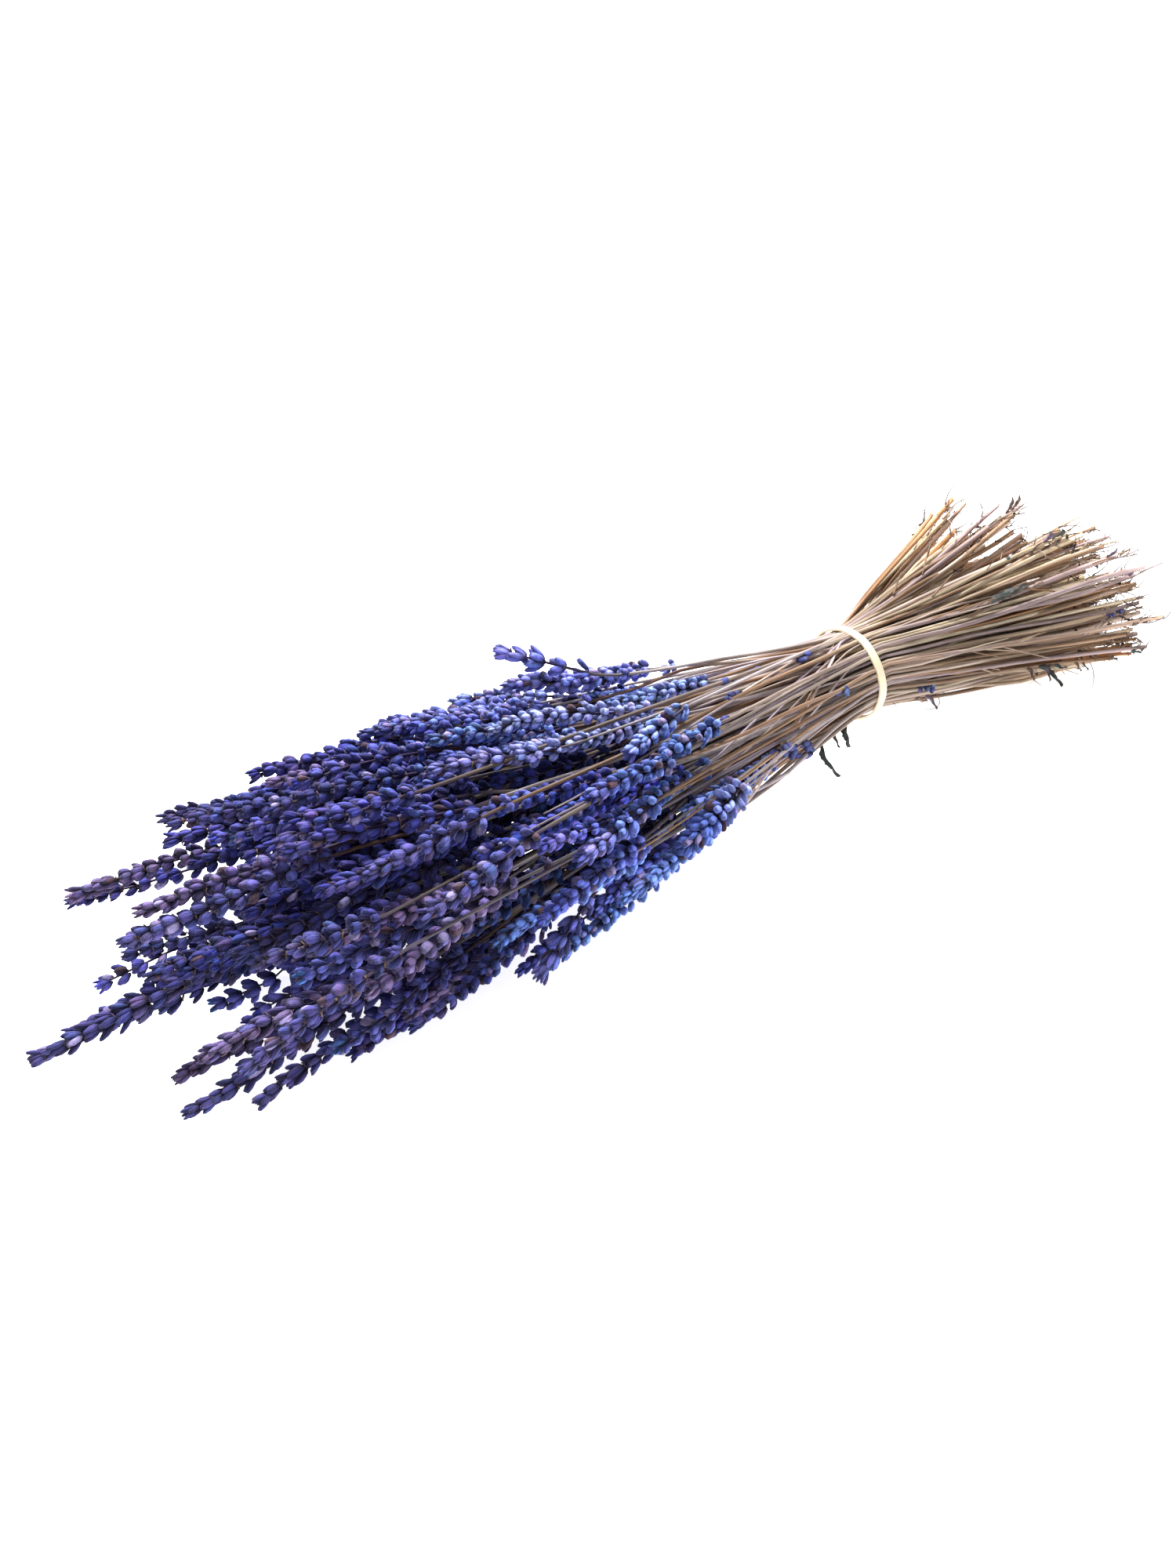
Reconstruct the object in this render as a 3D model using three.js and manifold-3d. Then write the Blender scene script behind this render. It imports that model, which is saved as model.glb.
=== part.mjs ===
// A bunch of dried lavender lying on a table, tied at the waist with a flat rubber band.
// Millimetres. +Z is up, and +X runs along the bunch from the cut stem ends to the flower tips.
// The table is z = 0, and the origin lies on it under the middle of the bunch's own box.
import * as THREE from "three";
import { mergeVertices } from "three/addons/utils/BufferGeometryUtils.js";
import Module from "manifold-3d";

const wasm = await Module();
wasm.setup();

// Driving dimensions. A station is a distance from the band, positive towards the flowers.
const AXIS_HEIGHT = 37.5;
const BAND = { outer: 18.6, inner: 17.6, width: 3.7, facets: 28 };
const STEM = { corner: 0.95, corners: 3, straight: 1, seat: 0.35, shortest: 6, search: 3 };
const WAIST = { rings: [15.9, 13.9, 12.0], core: 15.9, coreLength: 9, coreFacets: 20, flat: 6 };
const CUT_END = { station: -132, uneven: 9, radius: 40, swirl: -0.4, axisHeight: 31, bend: -4, lowest: 0.6 };
const CUT_FAR_SIDE = { angle: 2.2, wider: 0.25, shorter: 0.3 };
const BUNCH = { wide: 1.14, high: 0.9, squash: 2, flare: 1.25, fanOut: 1.6, lift: 4, bend: -7 };
const FAR_SIDE = { angle: 2.2, shorter: 0.18, reach: -0.18 };
const NEAR_SIDE = { angle: -0.6, shorter: 0.12, reach: 0.12 };
const SPIKE = { radius: 4.5, pitch: 12.6, budsRound: 5, heel: 1.3, valley: 0.45, crest: 0.62 };
const UNEVEN = { angle: 0.12, base: 9, length: 0.12, reach: 0.07, radius: 0.06 };
const TIP_TAPER = { from: 0.6, amount: 0.5, power: 1.5 };
const TABLE = { length: 900, width: 400, depth: 40 };

// How the sprigs settle: the station grid, what keeps them apart and what keeps them in line.
const STATION_STEP = 10;
const STATIONS = 33;
const SETTLING = { rounds: 120, pull: 0.03, pullUntil: 0.7, stiff: 0.35, limp: 0.1, limpFrom: 0.9 };
const CLEARANCE = 0.7;
const PRESSED_FLAT = 1.7;
const PAIR = { atHeel: 0.36, opening: 1.1, halfGap: 4.6, widest: 0.5 };
const REACH_OF_TOUCH = 12;
const BEFORE_HEEL = 0.1;
const PAST_TIP = 1.06;

// Each row is one layer of the thatch of flower spikes: how many sprigs, the station where
// their spikes start, the spikes' length, the ring of the waist that their stems pass through,
// how far from the bunch's axis their tips lie, and the tone of their buds.
const ROWS = [
  { name: "collar", count: 8, base: 78, length: 46, ring: 0, reach: 30, tone: "indigo" },
  { name: "shoulder", count: 16, base: 108, length: 52, ring: 0, reach: 38, tone: "indigo" },
  { name: "middle", count: 20, base: 146, length: 54, ring: 0, reach: 44, tone: "violet" },
  { name: "front", count: 22, base: 192, length: 56, ring: 1, reach: 45, tone: "violet" },
  { name: "tip", count: 12, base: 234, length: 58, ring: 1, reach: 39, tone: "mauve" },
  { name: "inner", count: 10, base: 212, length: 56, ring: 2, reach: 24, tone: "violet" },
  { name: "heart", count: 6, base: 234, length: 56, ring: 2, reach: 9, tone: "violet" },
];

// Spikes that stray from the mass: where each starts, and the [y, z] of its heel and of its tip.
const STRAYS = [
  { name: "lone", base: 114, length: 25, ring: 0, heel: [-11, 67], tip: [-27, 80] },
  { name: "drooping", base: 152, length: 26, ring: 0, heel: [41, 34], tip: [48, 12] },
  { name: "low", base: 206, length: 56, ring: 0, heel: [26, 18], tip: [36, 9] },
  { name: "longest", base: 250, length: 58, ring: 1, heel: [-6, 30], tip: [-9, 28] },
  { name: "far", base: 204, length: 46, ring: 1, heel: [-30, 53], tip: [-38, 51] },
  { name: "upper", base: 186, length: 44, ring: 1, heel: [-32, 58], tip: [-38, 60] },
];

// Leaves left on outer stems: the stem's station, the side of the bunch that it lies on, the
// leaf's length and breadth, its slant off the stem and how far it has curled in drying.
const LEAVES = [
  { station: 33, side: -0.75, length: 13, breadth: 2.6, slant: 1.2, curl: 0.9 },
  { station: 10, side: -0.9, length: 9, breadth: 3.6, slant: 1.0, curl: 0.6 },
  { station: -82, side: -0.5, length: 13, breadth: 2.6, slant: 0.7, curl: 1.2 },
  { station: -58, side: 0.9, length: 20, breadth: 4, slant: 0.35, curl: -0.4 },
];
const LEAF = { thick: 0.8, steps: 7, clear: 0.45, narrowest: 0.4 };

const MATERIALS = {
  bloom_violet: new THREE.MeshStandardMaterial({ color: 0x4a3a8c, roughness: 0.9 }),
  bloom_indigo: new THREE.MeshStandardMaterial({ color: 0x35388a, roughness: 0.9 }),
  bloom_mauve: new THREE.MeshStandardMaterial({ color: 0x715f9c, roughness: 0.9 }),
  dry_stem: new THREE.MeshStandardMaterial({ color: 0x92775c, roughness: 0.8 }),
  dry_leaf: new THREE.MeshStandardMaterial({ color: 0x4d5248, roughness: 0.85 }),
  band_rubber: new THREE.MeshStandardMaterial({ color: 0xf0d9b5, roughness: 0.55 }),
};

// Park-Miller draws from a fixed seed, so the bunch is the same each time.
let seed = 77;
function draw() {
  seed = (seed * 16807) % 2147483647;
  return seed / 2147483647;
}
const spread = (half) => (2 * draw() - 1) * half;

// Sprigs lie in the bunch two by two: a pair's spikes touch near their heels and part ahead.
function makeSprigs() {
  const sprigs = [];
  ROWS.forEach((row, rowNumber) => {
    const pairs = row.count / 2;
    for (let pair = 0; pair < pairs; pair++) {
      const middle = (2 * Math.PI * (pair + 0.5 * (rowNumber % 2) + spread(UNEVEN.angle))) / pairs;
      const far = Math.max(0, Math.cos(middle - FAR_SIDE.angle));
      const near = Math.max(0, Math.cos(middle - NEAR_SIDE.angle));
      const shorter = far * FAR_SIDE.shorter + near * NEAR_SIDE.shorter;
      const base = row.base * (1 - shorter) + spread(UNEVEN.base);
      const reach = row.reach * (1 + far * FAR_SIDE.reach + near * NEAR_SIDE.reach);
      const lean = Math.min(PAIR.widest, PAIR.halfGap / row.reach);
      for (const side of [-1, 1]) {
        sprigs.push({
          node: `spikes_${row.name}_${pair + 1}`,
          tone: row.tone,
          ring: row.ring,
          angle: middle + side * lean,
          base,
          length: row.length * (1 + spread(UNEVEN.length)),
          reach: reach * (1 + spread(UNEVEN.reach)),
          phase: draw() * 2 * Math.PI,
          radius: SPIKE.radius * (1 + spread(UNEVEN.radius)),
          cut: CUT_END.station + spread(CUT_END.uneven),
        });
      }
    }
  });
  for (const stray of STRAYS) {
    const [y, z] = stray.heel;
    sprigs.push({
      node: `spike_${stray.name}`,
      tone: "mauve",
      ring: stray.ring,
      angle: Math.atan2(z - AXIS_HEIGHT, y),
      base: stray.base,
      length: stray.length,
      stray,
      phase: draw() * 2 * Math.PI,
      radius: SPIKE.radius,
      cut: CUT_END.station + spread(CUT_END.uneven),
    });
  }
  return sprigs;
}

// In each ring of the waist the stems lie side by side, in the order of their spikes. Behind the
// band the far ones splay wider and were cut shorter.
function seatAtWaist(sprigs) {
  WAIST.rings.forEach((radius, ring) => {
    const turn = (s) => (s.angle + 2 * Math.PI) % (2 * Math.PI);
    const inRing = sprigs.filter((s) => s.ring === ring).sort((a, b) => turn(a) - turn(b));
    inRing.forEach((s, slot) => {
      s.angle = turn(s);
      s.waistRadius = radius;
      s.waistAngle = (2 * Math.PI * (slot + 0.5)) / inRing.length;
    });
  });
  const outermostFirst = [...sprigs].sort((a, b) => a.ring - b.ring);
  outermostFirst.forEach((s, rank) => {
    const far = Math.max(0, Math.cos(s.waistAngle + CUT_END.swirl - CUT_FAR_SIDE.angle));
    s.cutRadius = CUT_END.radius * Math.sqrt(1 - rank / sprigs.length);
    s.cutRadius *= 1 + CUT_FAR_SIDE.wider * far;
    s.cut *= 1 - CUT_FAR_SIDE.shorter * far;
  });
}

// A spike is thickest over its first two thirds and narrows to its tip. Its stem is thin.
function thickness(sprig, station) {
  const along = (station - sprig.base) / sprig.length;
  if (along < -BEFORE_HEEL) return STEM.corner;
  if (along > PAST_TIP) return 0;
  const narrowed = Math.max(0, along - TIP_TAPER.from) / (1 - TIP_TAPER.from);
  return sprig.radius * (1 - TIP_TAPER.amount * narrowed ** TIP_TAPER.power);
}

// The [y, z] at a station of a sprig that follows the bunch's flare with nothing in its way.
function flaredPoint(s, station) {
  const share = Math.max(0, station - WAIST.flat) / (s.base + s.length - WAIST.flat);
  const radius = s.waistRadius + (s.reach - s.waistRadius) * share ** BUNCH.flare;
  const angle = s.waistAngle + (s.angle - s.waistAngle) * Math.min(1, share * BUNCH.fanOut);
  const squash = Math.min(1, share * BUNCH.squash);
  const wide = 1 + (BUNCH.wide - 1) * squash;
  const high = 1 + (BUNCH.high - 1) * squash;
  return [
    BUNCH.bend * share ** 2 + radius * Math.cos(angle) * wide,
    AXIS_HEIGHT + BUNCH.lift * share + radius * Math.sin(angle) * high,
  ];
}

// The same for a stray: from the waist to its heel, and on from there towards its tip.
function strayPoint(s, station) {
  const { heel, tip } = s.stray;
  const ahead = (station - s.base) / s.length;
  if (ahead > 0) return [0, 1].map((k) => heel[k] + (tip[k] - heel[k]) * ahead);
  const share = Math.max(0, station - WAIST.flat) / (s.base - WAIST.flat);
  const heelRadius = Math.hypot(heel[0], heel[1] - AXIS_HEIGHT);
  const radius = s.waistRadius + (heelRadius - s.waistRadius) * share ** BUNCH.flare;
  const angle = s.waistAngle + (s.angle - s.waistAngle) * share;
  return [radius * Math.cos(angle), AXIS_HEIGHT + radius * Math.sin(angle)];
}

function idealLines(sprigs) {
  for (const s of sprigs) {
    const point = s.stray ? strayPoint : flaredPoint;
    s.ideal = Array.from({ length: STATIONS }, (_, m) => point(s, m * STATION_STEP));
    s.line = s.ideal.map((p) => [...p]);
  }
}

const isStem = (thick) => thick <= STEM.corner;

// How near two sprigs' centre lines may come at a station, given how thick each is there.
function roomBetween(a, b, thickA, thickB, station) {
  if (isStem(thickA) && isStem(thickB)) return thickA + thickB;
  if (isStem(thickA) || isStem(thickB) || a.node !== b.node) return thickA + thickB + CLEARANCE;
  const along = Math.max(0, station - a.base) / a.length;
  return (thickA + thickB) * (PAIR.atHeel + PAIR.opening * along);
}

// The sprigs push each other apart and settle on the table, and stay smooth along their length.
function settle(sprigs) {
  for (let round = 0; round < SETTLING.rounds; round++) {
    const pull = round < SETTLING.rounds * SETTLING.pullUntil ? SETTLING.pull : 0;
    const stiff = round < SETTLING.rounds * SETTLING.limpFrom ? SETTLING.stiff : SETTLING.limp;
    for (let m = 1; m < STATIONS; m++) {
      const station = m * STATION_STEP;
      const thick = sprigs.map((s) => thickness(s, station));
      const moves = sprigs.map(() => [0, 0]);
      for (let i = 0; i < sprigs.length; i++) {
        if (!thick[i]) continue;
        for (let j = i + 1; j < sprigs.length; j++) {
          if (!thick[j]) continue;
          const dy = sprigs[j].line[m][0] - sprigs[i].line[m][0];
          const dz = sprigs[j].line[m][1] - sprigs[i].line[m][1];
          const apart = Math.hypot(dy, dz) + 1e-9;
          const spikes = !isStem(thick[i]) && !isStem(thick[j]);
          const linked = spikes && sprigs[i].node === sprigs[j].node;
          if (apart > REACH_OF_TOUCH && !linked) continue;
          const short = roomBetween(sprigs[i], sprigs[j], thick[i], thick[j], station) - apart;
          if (short <= 0 && !linked) continue;
          const share = thick[j] ** 2 / (thick[i] ** 2 + thick[j] ** 2);
          const push = (short / apart) * 0.5;
          moves[i][0] -= dy * push * share;
          moves[i][1] -= dz * push * share;
          moves[j][0] += dy * push * (1 - share);
          moves[j][1] += dz * push * (1 - share);
        }
      }
      sprigs.forEach((s, i) => {
        const p = s.line[m];
        p[0] += moves[i][0] + pull * (s.ideal[m][0] - p[0]);
        p[1] += moves[i][1] + pull * (s.ideal[m][1] - p[1]);
        p[1] = Math.max(p[1], thick[i] - (isStem(thick[i]) ? 0 : PRESSED_FLAT));
      });
    }
    for (const s of sprigs) {
      const shift = s.line.map((p, m) => [p[0] - s.ideal[m][0], p[1] - s.ideal[m][1]]);
      for (let m = 1; m < STATIONS - 1; m++) {
        for (const k of [0, 1]) {
          const level = (shift[m - 1][k] + shift[m + 1][k]) / 2;
          s.line[m][k] += stiff * (level - shift[m][k]);
        }
      }
    }
  }
}

// The point of a sprig's centre line at a station. Behind the band it runs straight to the cut end.
function pointAt(sprig, station) {
  if (station >= 0) {
    const place = Math.min(station / STATION_STEP, STATIONS - 1.001);
    const m = Math.floor(place);
    const f = place - m;
    const [a, b] = [sprig.line[m], sprig.line[m + 1]];
    return new THREE.Vector3(station, a[0] + (b[0] - a[0]) * f, a[1] + (b[1] - a[1]) * f);
  }
  const share = Math.max(0, -station - WAIST.flat) / (-sprig.cut - WAIST.flat);
  const angle = sprig.waistAngle + CUT_END.swirl;
  const endY = CUT_END.bend + sprig.cutRadius * BUNCH.wide * Math.cos(angle);
  const endZ = CUT_END.axisHeight + sprig.cutRadius * BUNCH.high * Math.sin(angle);
  const [waistY, waistZ] = sprig.line[0];
  const z = waistZ + (endZ - waistZ) * share;
  return new THREE.Vector3(station, waistY + (endY - waistY) * share, Math.max(z, CUT_END.lowest));
}

// The point beside a sprig's centre line, at a distance and an angle round it.
function around(sprig, station, radius, angle) {
  const along = pointAt(sprig, station + 3).sub(pointAt(sprig, station - 3)).normalize();
  const side = new THREE.Vector3(0, 0, 1).cross(along).normalize();
  const up = along.clone().cross(side);
  return pointAt(sprig, station)
    .addScaledVector(side, radius * Math.cos(angle))
    .addScaledVector(up, radius * Math.sin(angle))
    .toArray();
}

function geometryOf(points, faces) {
  const geometry = new THREE.BufferGeometry();
  geometry.setAttribute("position", new THREE.Float32BufferAttribute(points.flat(), 3));
  geometry.setIndex(faces.flat());
  return geometry;
}

// A spike: whorls of buds raised from a slim core, each whorl turned half a bud from the last.
function spikeGeometry(sprig) {
  const n = SPIKE.budsRound;
  const whorls = Math.round(sprig.length / SPIKE.pitch);
  const pitch = sprig.length / (whorls + 0.6);
  const points = [];
  const faces = [];
  const valley = (ring, k) => ring * n + (k % n);
  for (let ring = 0; ring <= whorls; ring++) {
    const station = sprig.base + pitch * ring;
    const radius = ring === 0 ? SPIKE.heel : SPIKE.valley * thickness(sprig, station);
    for (let k = 0; k < n; k++) {
      const angle = sprig.phase + (2 * Math.PI * (k + 0.5 * (ring % 2))) / n;
      points.push(around(sprig, station, radius, angle));
    }
  }
  const heel = points.push(around(sprig, sprig.base, 0, 0)) - 1;
  const nose = points.push(around(sprig, sprig.base + sprig.length, 0, 0)) - 1;
  for (let k = 0; k < n; k++) {
    faces.push([heel, valley(0, k + 1), valley(0, k)]);
    faces.push([nose, valley(whorls, k), valley(whorls, k + 1)]);
  }
  for (let ring = 0; ring < whorls; ring++) {
    const turned = ring % 2;
    for (let k = 0; k < n; k++) {
      const [a, b] = [valley(ring, k), valley(ring, k + 1)];
      const [ahead, next] = [valley(ring + 1, k + turned), valley(ring + 1, k + 1 + turned)];
      const station = sprig.base + pitch * (ring + SPIKE.crest);
      const angle = sprig.phase + (2 * Math.PI * (k + 0.5 + 0.5 * turned)) / n;
      const crest = points.push(around(sprig, station, thickness(sprig, station), angle)) - 1;
      faces.push([a, b, crest], [b, ahead, crest], [ahead, a, crest]);
      faces.push([b, next, ahead]);
    }
  }
  return geometryOf(points, faces);
}

// The stations between two others where a sprig's line bends away from straight.
function bends(sprig, from, to) {
  const [a, b] = [pointAt(sprig, from), pointAt(sprig, to)];
  let worst = STEM.straight;
  let place = null;
  for (let station = from + STEM.shortest; station < to - STEM.shortest + 1; station += STEM.search) {
    const level = a.clone().lerp(b, (station - from) / (to - from));
    const off = level.distanceTo(pointAt(sprig, station));
    if (off > worst) [worst, place] = [off, station];
  }
  return place === null ? [] : [...bends(sprig, from, place), place, ...bends(sprig, place, to)];
}

// A stem: a thin cornered tube from its cut end to its spike's heel.
function stemGeometry(sprig) {
  const end = sprig.base - STEM.seat;
  const waist = [-WAIST.flat, WAIST.flat];
  const stations = [sprig.cut, ...waist, ...bends(sprig, WAIST.flat, end), end];
  const corners = STEM.corners;
  const points = [];
  const faces = [];
  for (const station of stations) {
    for (let k = 0; k < corners; k++) {
      points.push(around(sprig, station, STEM.corner, sprig.phase + (2 * Math.PI * k) / corners));
    }
  }
  const last = (stations.length - 1) * corners;
  for (let ring = 0; ring < last; ring += corners) {
    for (let k = 0; k < corners; k++) {
      const [a, b] = [ring + k, ring + ((k + 1) % corners)];
      faces.push([a, b, a + corners], [b, b + corners, a + corners]);
    }
  }
  for (let k = 2; k < corners; k++) {
    faces.push([0, k, k - 1], [last, last + k - 1, last + k]);
  }
  return geometryOf(points, faces);
}

// A dried leaf: a thin narrow blade that leaves the outermost stem of its side and curls.
function leafGeometry(leaf, sprigs) {
  const out = new THREE.Vector3(0, Math.cos(leaf.side), Math.sin(leaf.side));
  const outward = (s) => pointAt(s, leaf.station).dot(out);
  const host = sprigs.reduce((best, s) => (outward(s) > outward(best) ? s : best));
  const along = new THREE.Vector3(Math.sign(leaf.station), 0, 0);
  const across = out.clone().cross(along);
  const spot = pointAt(host, leaf.station);
  spot.addScaledVector(out, STEM.corner + LEAF.clear + LEAF.thick / 2);
  const points = [];
  const faces = [];
  for (let step = 0; step <= LEAF.steps; step++) {
    const share = step / LEAF.steps;
    const slant = leaf.slant + leaf.curl * share;
    const ahead = along.clone().multiplyScalar(Math.cos(slant)).addScaledVector(out, Math.sin(slant));
    const face = along.clone().multiplyScalar(-Math.sin(slant)).addScaledVector(out, Math.cos(slant));
    if (step > 0) spot.addScaledVector(ahead, leaf.length / LEAF.steps);
    const broadened = LEAF.narrowest + (1 - LEAF.narrowest) * Math.sin(Math.PI * share);
    const breadth = leaf.breadth * broadened;
    for (const [u, v] of [[-1, -1], [1, -1], [1, 1], [-1, 1]]) {
      const corner = spot.clone().addScaledVector(across, (u * breadth) / 2);
      points.push(corner.addScaledVector(face, (v * LEAF.thick) / 2).toArray());
    }
  }
  const last = LEAF.steps * 4;
  for (let ring = 0; ring < last; ring += 4) {
    for (let k = 0; k < 4; k++) {
      const [a, b] = [ring + k, ring + ((k + 1) % 4)];
      faces.push([a, b, a + 4], [b, b + 4, a + 4]);
    }
  }
  faces.push([0, 2, 1], [0, 3, 2], [last, last + 1, last + 2], [last, last + 2, last + 3]);
  return geometryOf(points, faces);
}

function solidOf(geometry) {
  const bare = geometry.toNonIndexed();
  bare.deleteAttribute("normal");
  bare.deleteAttribute("uv");
  const merged = mergeVertices(bare, 1e-4);
  return new wasm.Manifold(
    new wasm.Mesh({
      numProp: 3,
      vertProperties: merged.attributes.position.array,
      triVerts: new Uint32Array(merged.index.array),
    }),
  );
}

const fused = (solids) => solids.reduce((whole, piece) => whole.add(piece));

function meshOf(name, solid, material) {
  const { vertProperties, triVerts } = solid.getMesh();
  const geometry = new THREE.BufferGeometry();
  geometry.setAttribute("position", new THREE.BufferAttribute(vertProperties, 3));
  geometry.setIndex(new THREE.BufferAttribute(triVerts, 1));
  const mesh = new THREE.Mesh(geometry, material);
  mesh.name = name;
  return mesh;
}

const sprigs = makeSprigs();
seatAtWaist(sprigs);
idealLines(sprigs);
settle(sprigs);

// What would reach below the table is pressed flat on it.
const slab = new THREE.BoxGeometry(TABLE.length, TABLE.width, TABLE.depth);
const table = solidOf(slab.translate(0, 0, -TABLE.depth / 2));

const bunch = new THREE.Group();
for (const node of new Set(sprigs.map((s) => s.node))) {
  const together = sprigs.filter((s) => s.node === node);
  const spikes = fused(together.map((s) => solidOf(spikeGeometry(s)))).subtract(table);
  bunch.add(meshOf(node, spikes, MATERIALS[`bloom_${together[0].tone}`]));
}
LEAVES.forEach((leaf, number) => {
  const blade = solidOf(leafGeometry(leaf, sprigs)).subtract(table);
  bunch.add(meshOf(`leaf_${number + 1}`, blade, MATERIALS.dry_leaf));
});

// The stems are packed solid inside the waist.
const core = new THREE.CylinderGeometry(WAIST.core, WAIST.core, 2 * WAIST.coreLength, WAIST.coreFacets);
core.rotateZ(Math.PI / 2).translate(0, 0, AXIS_HEIGHT);
const stems = fused([solidOf(core), ...sprigs.map((s) => solidOf(stemGeometry(s)))]);
bunch.add(meshOf("stems", stems.subtract(table), MATERIALS.dry_stem));

const half = BAND.width / 2;
const profile = [
  [BAND.inner, -half],
  [BAND.outer, -half],
  [BAND.outer, half],
  [BAND.inner, half],
  [BAND.inner, -half],
].map(([r, x]) => new THREE.Vector2(r, x));
const hoop = new THREE.LatheGeometry(profile, BAND.facets).rotateZ(-Math.PI / 2);
bunch.add(meshOf("rubber_band", solidOf(hoop.translate(0, 0, AXIS_HEIGHT)), MATERIALS.band_rubber));

// The origin lies on the table, under the middle of the bunch's box.
const box = new THREE.Box3().setFromObject(bunch);
const middle = box.getCenter(new THREE.Vector3());
bunch.position.set(-middle.x, -middle.y, -box.min.z);

export default bunch;
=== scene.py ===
import math
from functools import partial
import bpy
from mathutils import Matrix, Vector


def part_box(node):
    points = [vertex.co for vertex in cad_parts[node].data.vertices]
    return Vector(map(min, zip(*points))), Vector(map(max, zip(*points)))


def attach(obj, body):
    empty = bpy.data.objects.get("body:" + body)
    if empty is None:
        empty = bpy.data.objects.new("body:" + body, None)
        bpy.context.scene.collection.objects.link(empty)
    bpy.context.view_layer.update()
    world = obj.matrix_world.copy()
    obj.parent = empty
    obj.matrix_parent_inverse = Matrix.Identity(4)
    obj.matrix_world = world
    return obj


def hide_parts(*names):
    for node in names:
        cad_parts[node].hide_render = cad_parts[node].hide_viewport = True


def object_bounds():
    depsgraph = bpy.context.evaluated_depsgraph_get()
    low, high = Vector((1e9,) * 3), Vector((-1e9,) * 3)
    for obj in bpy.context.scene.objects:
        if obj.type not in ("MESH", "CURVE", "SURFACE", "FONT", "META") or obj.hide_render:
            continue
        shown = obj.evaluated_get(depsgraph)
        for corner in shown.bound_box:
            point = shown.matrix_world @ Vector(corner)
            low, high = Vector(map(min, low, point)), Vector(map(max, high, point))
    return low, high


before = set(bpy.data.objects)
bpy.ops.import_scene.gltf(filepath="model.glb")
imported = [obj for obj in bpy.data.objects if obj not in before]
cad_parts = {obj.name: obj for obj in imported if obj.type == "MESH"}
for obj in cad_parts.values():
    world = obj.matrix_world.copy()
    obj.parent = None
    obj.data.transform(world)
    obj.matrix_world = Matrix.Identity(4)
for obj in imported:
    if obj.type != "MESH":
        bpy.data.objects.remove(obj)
from types import SimpleNamespace

import bmesh
import bpy
import numpy as np
from mathutils import Matrix, Vector

cad_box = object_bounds()

# The sprigs of the thatch, laid out before anything is made. They are dried lavender: the band
# grips their stems, and their spikes have pushed each other aside until all rest on the table.
# Sizes are millimetres. A station is a distance from the band, positive towards the flowers.
MM = 0.001
FULL_TURN = 2 * math.pi
band_low, band_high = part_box("rubber_band")
BAND_PLACE = (band_low + band_high) / 2
AXIS_HEIGHT = 37.5
STEM_CORNER = 0.95
WAIST_RINGS = (15.9, 13.9, 12.0)
WAIST_FLAT = 6
CUT_END = SimpleNamespace(station=-132, uneven=9, radius=40, swirl=-0.4, axis=31, bend=-4, lowest=0.6)
CUT_FAR_SIDE = SimpleNamespace(angle=2.2, wider=0.25, shorter=0.3)
BUNCH = SimpleNamespace(wide=1.14, high=0.9, squash=2, flare=1.25, fan_out=1.6, lift=4, bend=-7)
FAR_SIDE = SimpleNamespace(angle=2.2, shorter=0.18, reach=-0.18)
NEAR_SIDE = SimpleNamespace(angle=-0.6, shorter=0.12, reach=0.12)
UNEVEN = SimpleNamespace(angle=0.12, base=9, length=0.12, reach=0.07, radius=0.06)
TIP_TAPER = SimpleNamespace(start=0.6, amount=0.5, power=1.5)
SETTLING = SimpleNamespace(rounds=120, pull=0.03, pull_until=0.7, stiff=0.35, limp=0.1, limp_from=0.9)
PAIR = SimpleNamespace(at_heel=0.36, opening=1.1, half_gap=4.6, widest=0.5)
SPIKE_RADIUS = 4.5
STATION_STEP = 10
STATIONS = 33
CLEARANCE = 0.7
PRESSED_FLAT = 1.7
REACH_OF_TOUCH = 12
BEFORE_HEEL = 0.1
PAST_TIP = 1.06

# Each row: name, how many sprigs, station of the spikes' heels, their length, the waist ring
# of their stems and how far from the axis their tips lie.
ROWS = (
    ("collar", 8, 78, 46, 0, 30),
    ("shoulder", 16, 108, 52, 0, 38),
    ("middle", 20, 146, 54, 0, 44),
    ("front", 22, 192, 56, 1, 45),
    ("tip", 12, 234, 58, 1, 39),
    ("inner", 10, 212, 56, 2, 24),
    ("heart", 6, 234, 56, 2, 9),
)

# Each stray: name, station of its heel, length, waist ring, and the (y, z) of heel and tip.
STRAYS = (
    ("lone", 114, 25, 0, (-11, 67), (-27, 80)),
    ("drooping", 152, 26, 0, (41, 34), (48, 12)),
    ("low", 206, 56, 0, (26, 18), (36, 9)),
    ("longest", 250, 58, 1, (-6, 30), (-9, 28)),
    ("far", 204, 46, 1, (-30, 53), (-38, 51)),
    ("upper", 186, 44, 1, (-32, 58), (-38, 60)),
)


class Draws:
    """Park-Miller draws from a seed, the same each time."""

    def __init__(self, seed):
        self.seed = seed

    def share(self):
        self.seed = self.seed * 16807 % 2147483647
        return self.seed / 2147483647

    def spread(self, half):
        return (2 * self.share() - 1) * half

    def between(self, low, high):
        return low + (high - low) * self.share()

    def turn(self):
        return self.share() * FULL_TURN

    def pick(self, choices):
        return choices[int(self.share() * len(choices))]


def dry_sprig(draws, **own):
    """A sprig with what is its own, the turn of its whorls and its cut."""
    return SimpleNamespace(**own, phase=draws.turn(), cut=CUT_END.station + draws.spread(CUT_END.uneven))


def by_side(angle):
    """How much shorter, and how much wider, the thatch is towards an angle."""
    far, near = (max(0, math.cos(angle - side.angle)) for side in (FAR_SIDE, NEAR_SIDE))
    return far * FAR_SIDE.shorter + near * NEAR_SIDE.shorter, far * FAR_SIDE.reach + near * NEAR_SIDE.reach


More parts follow.
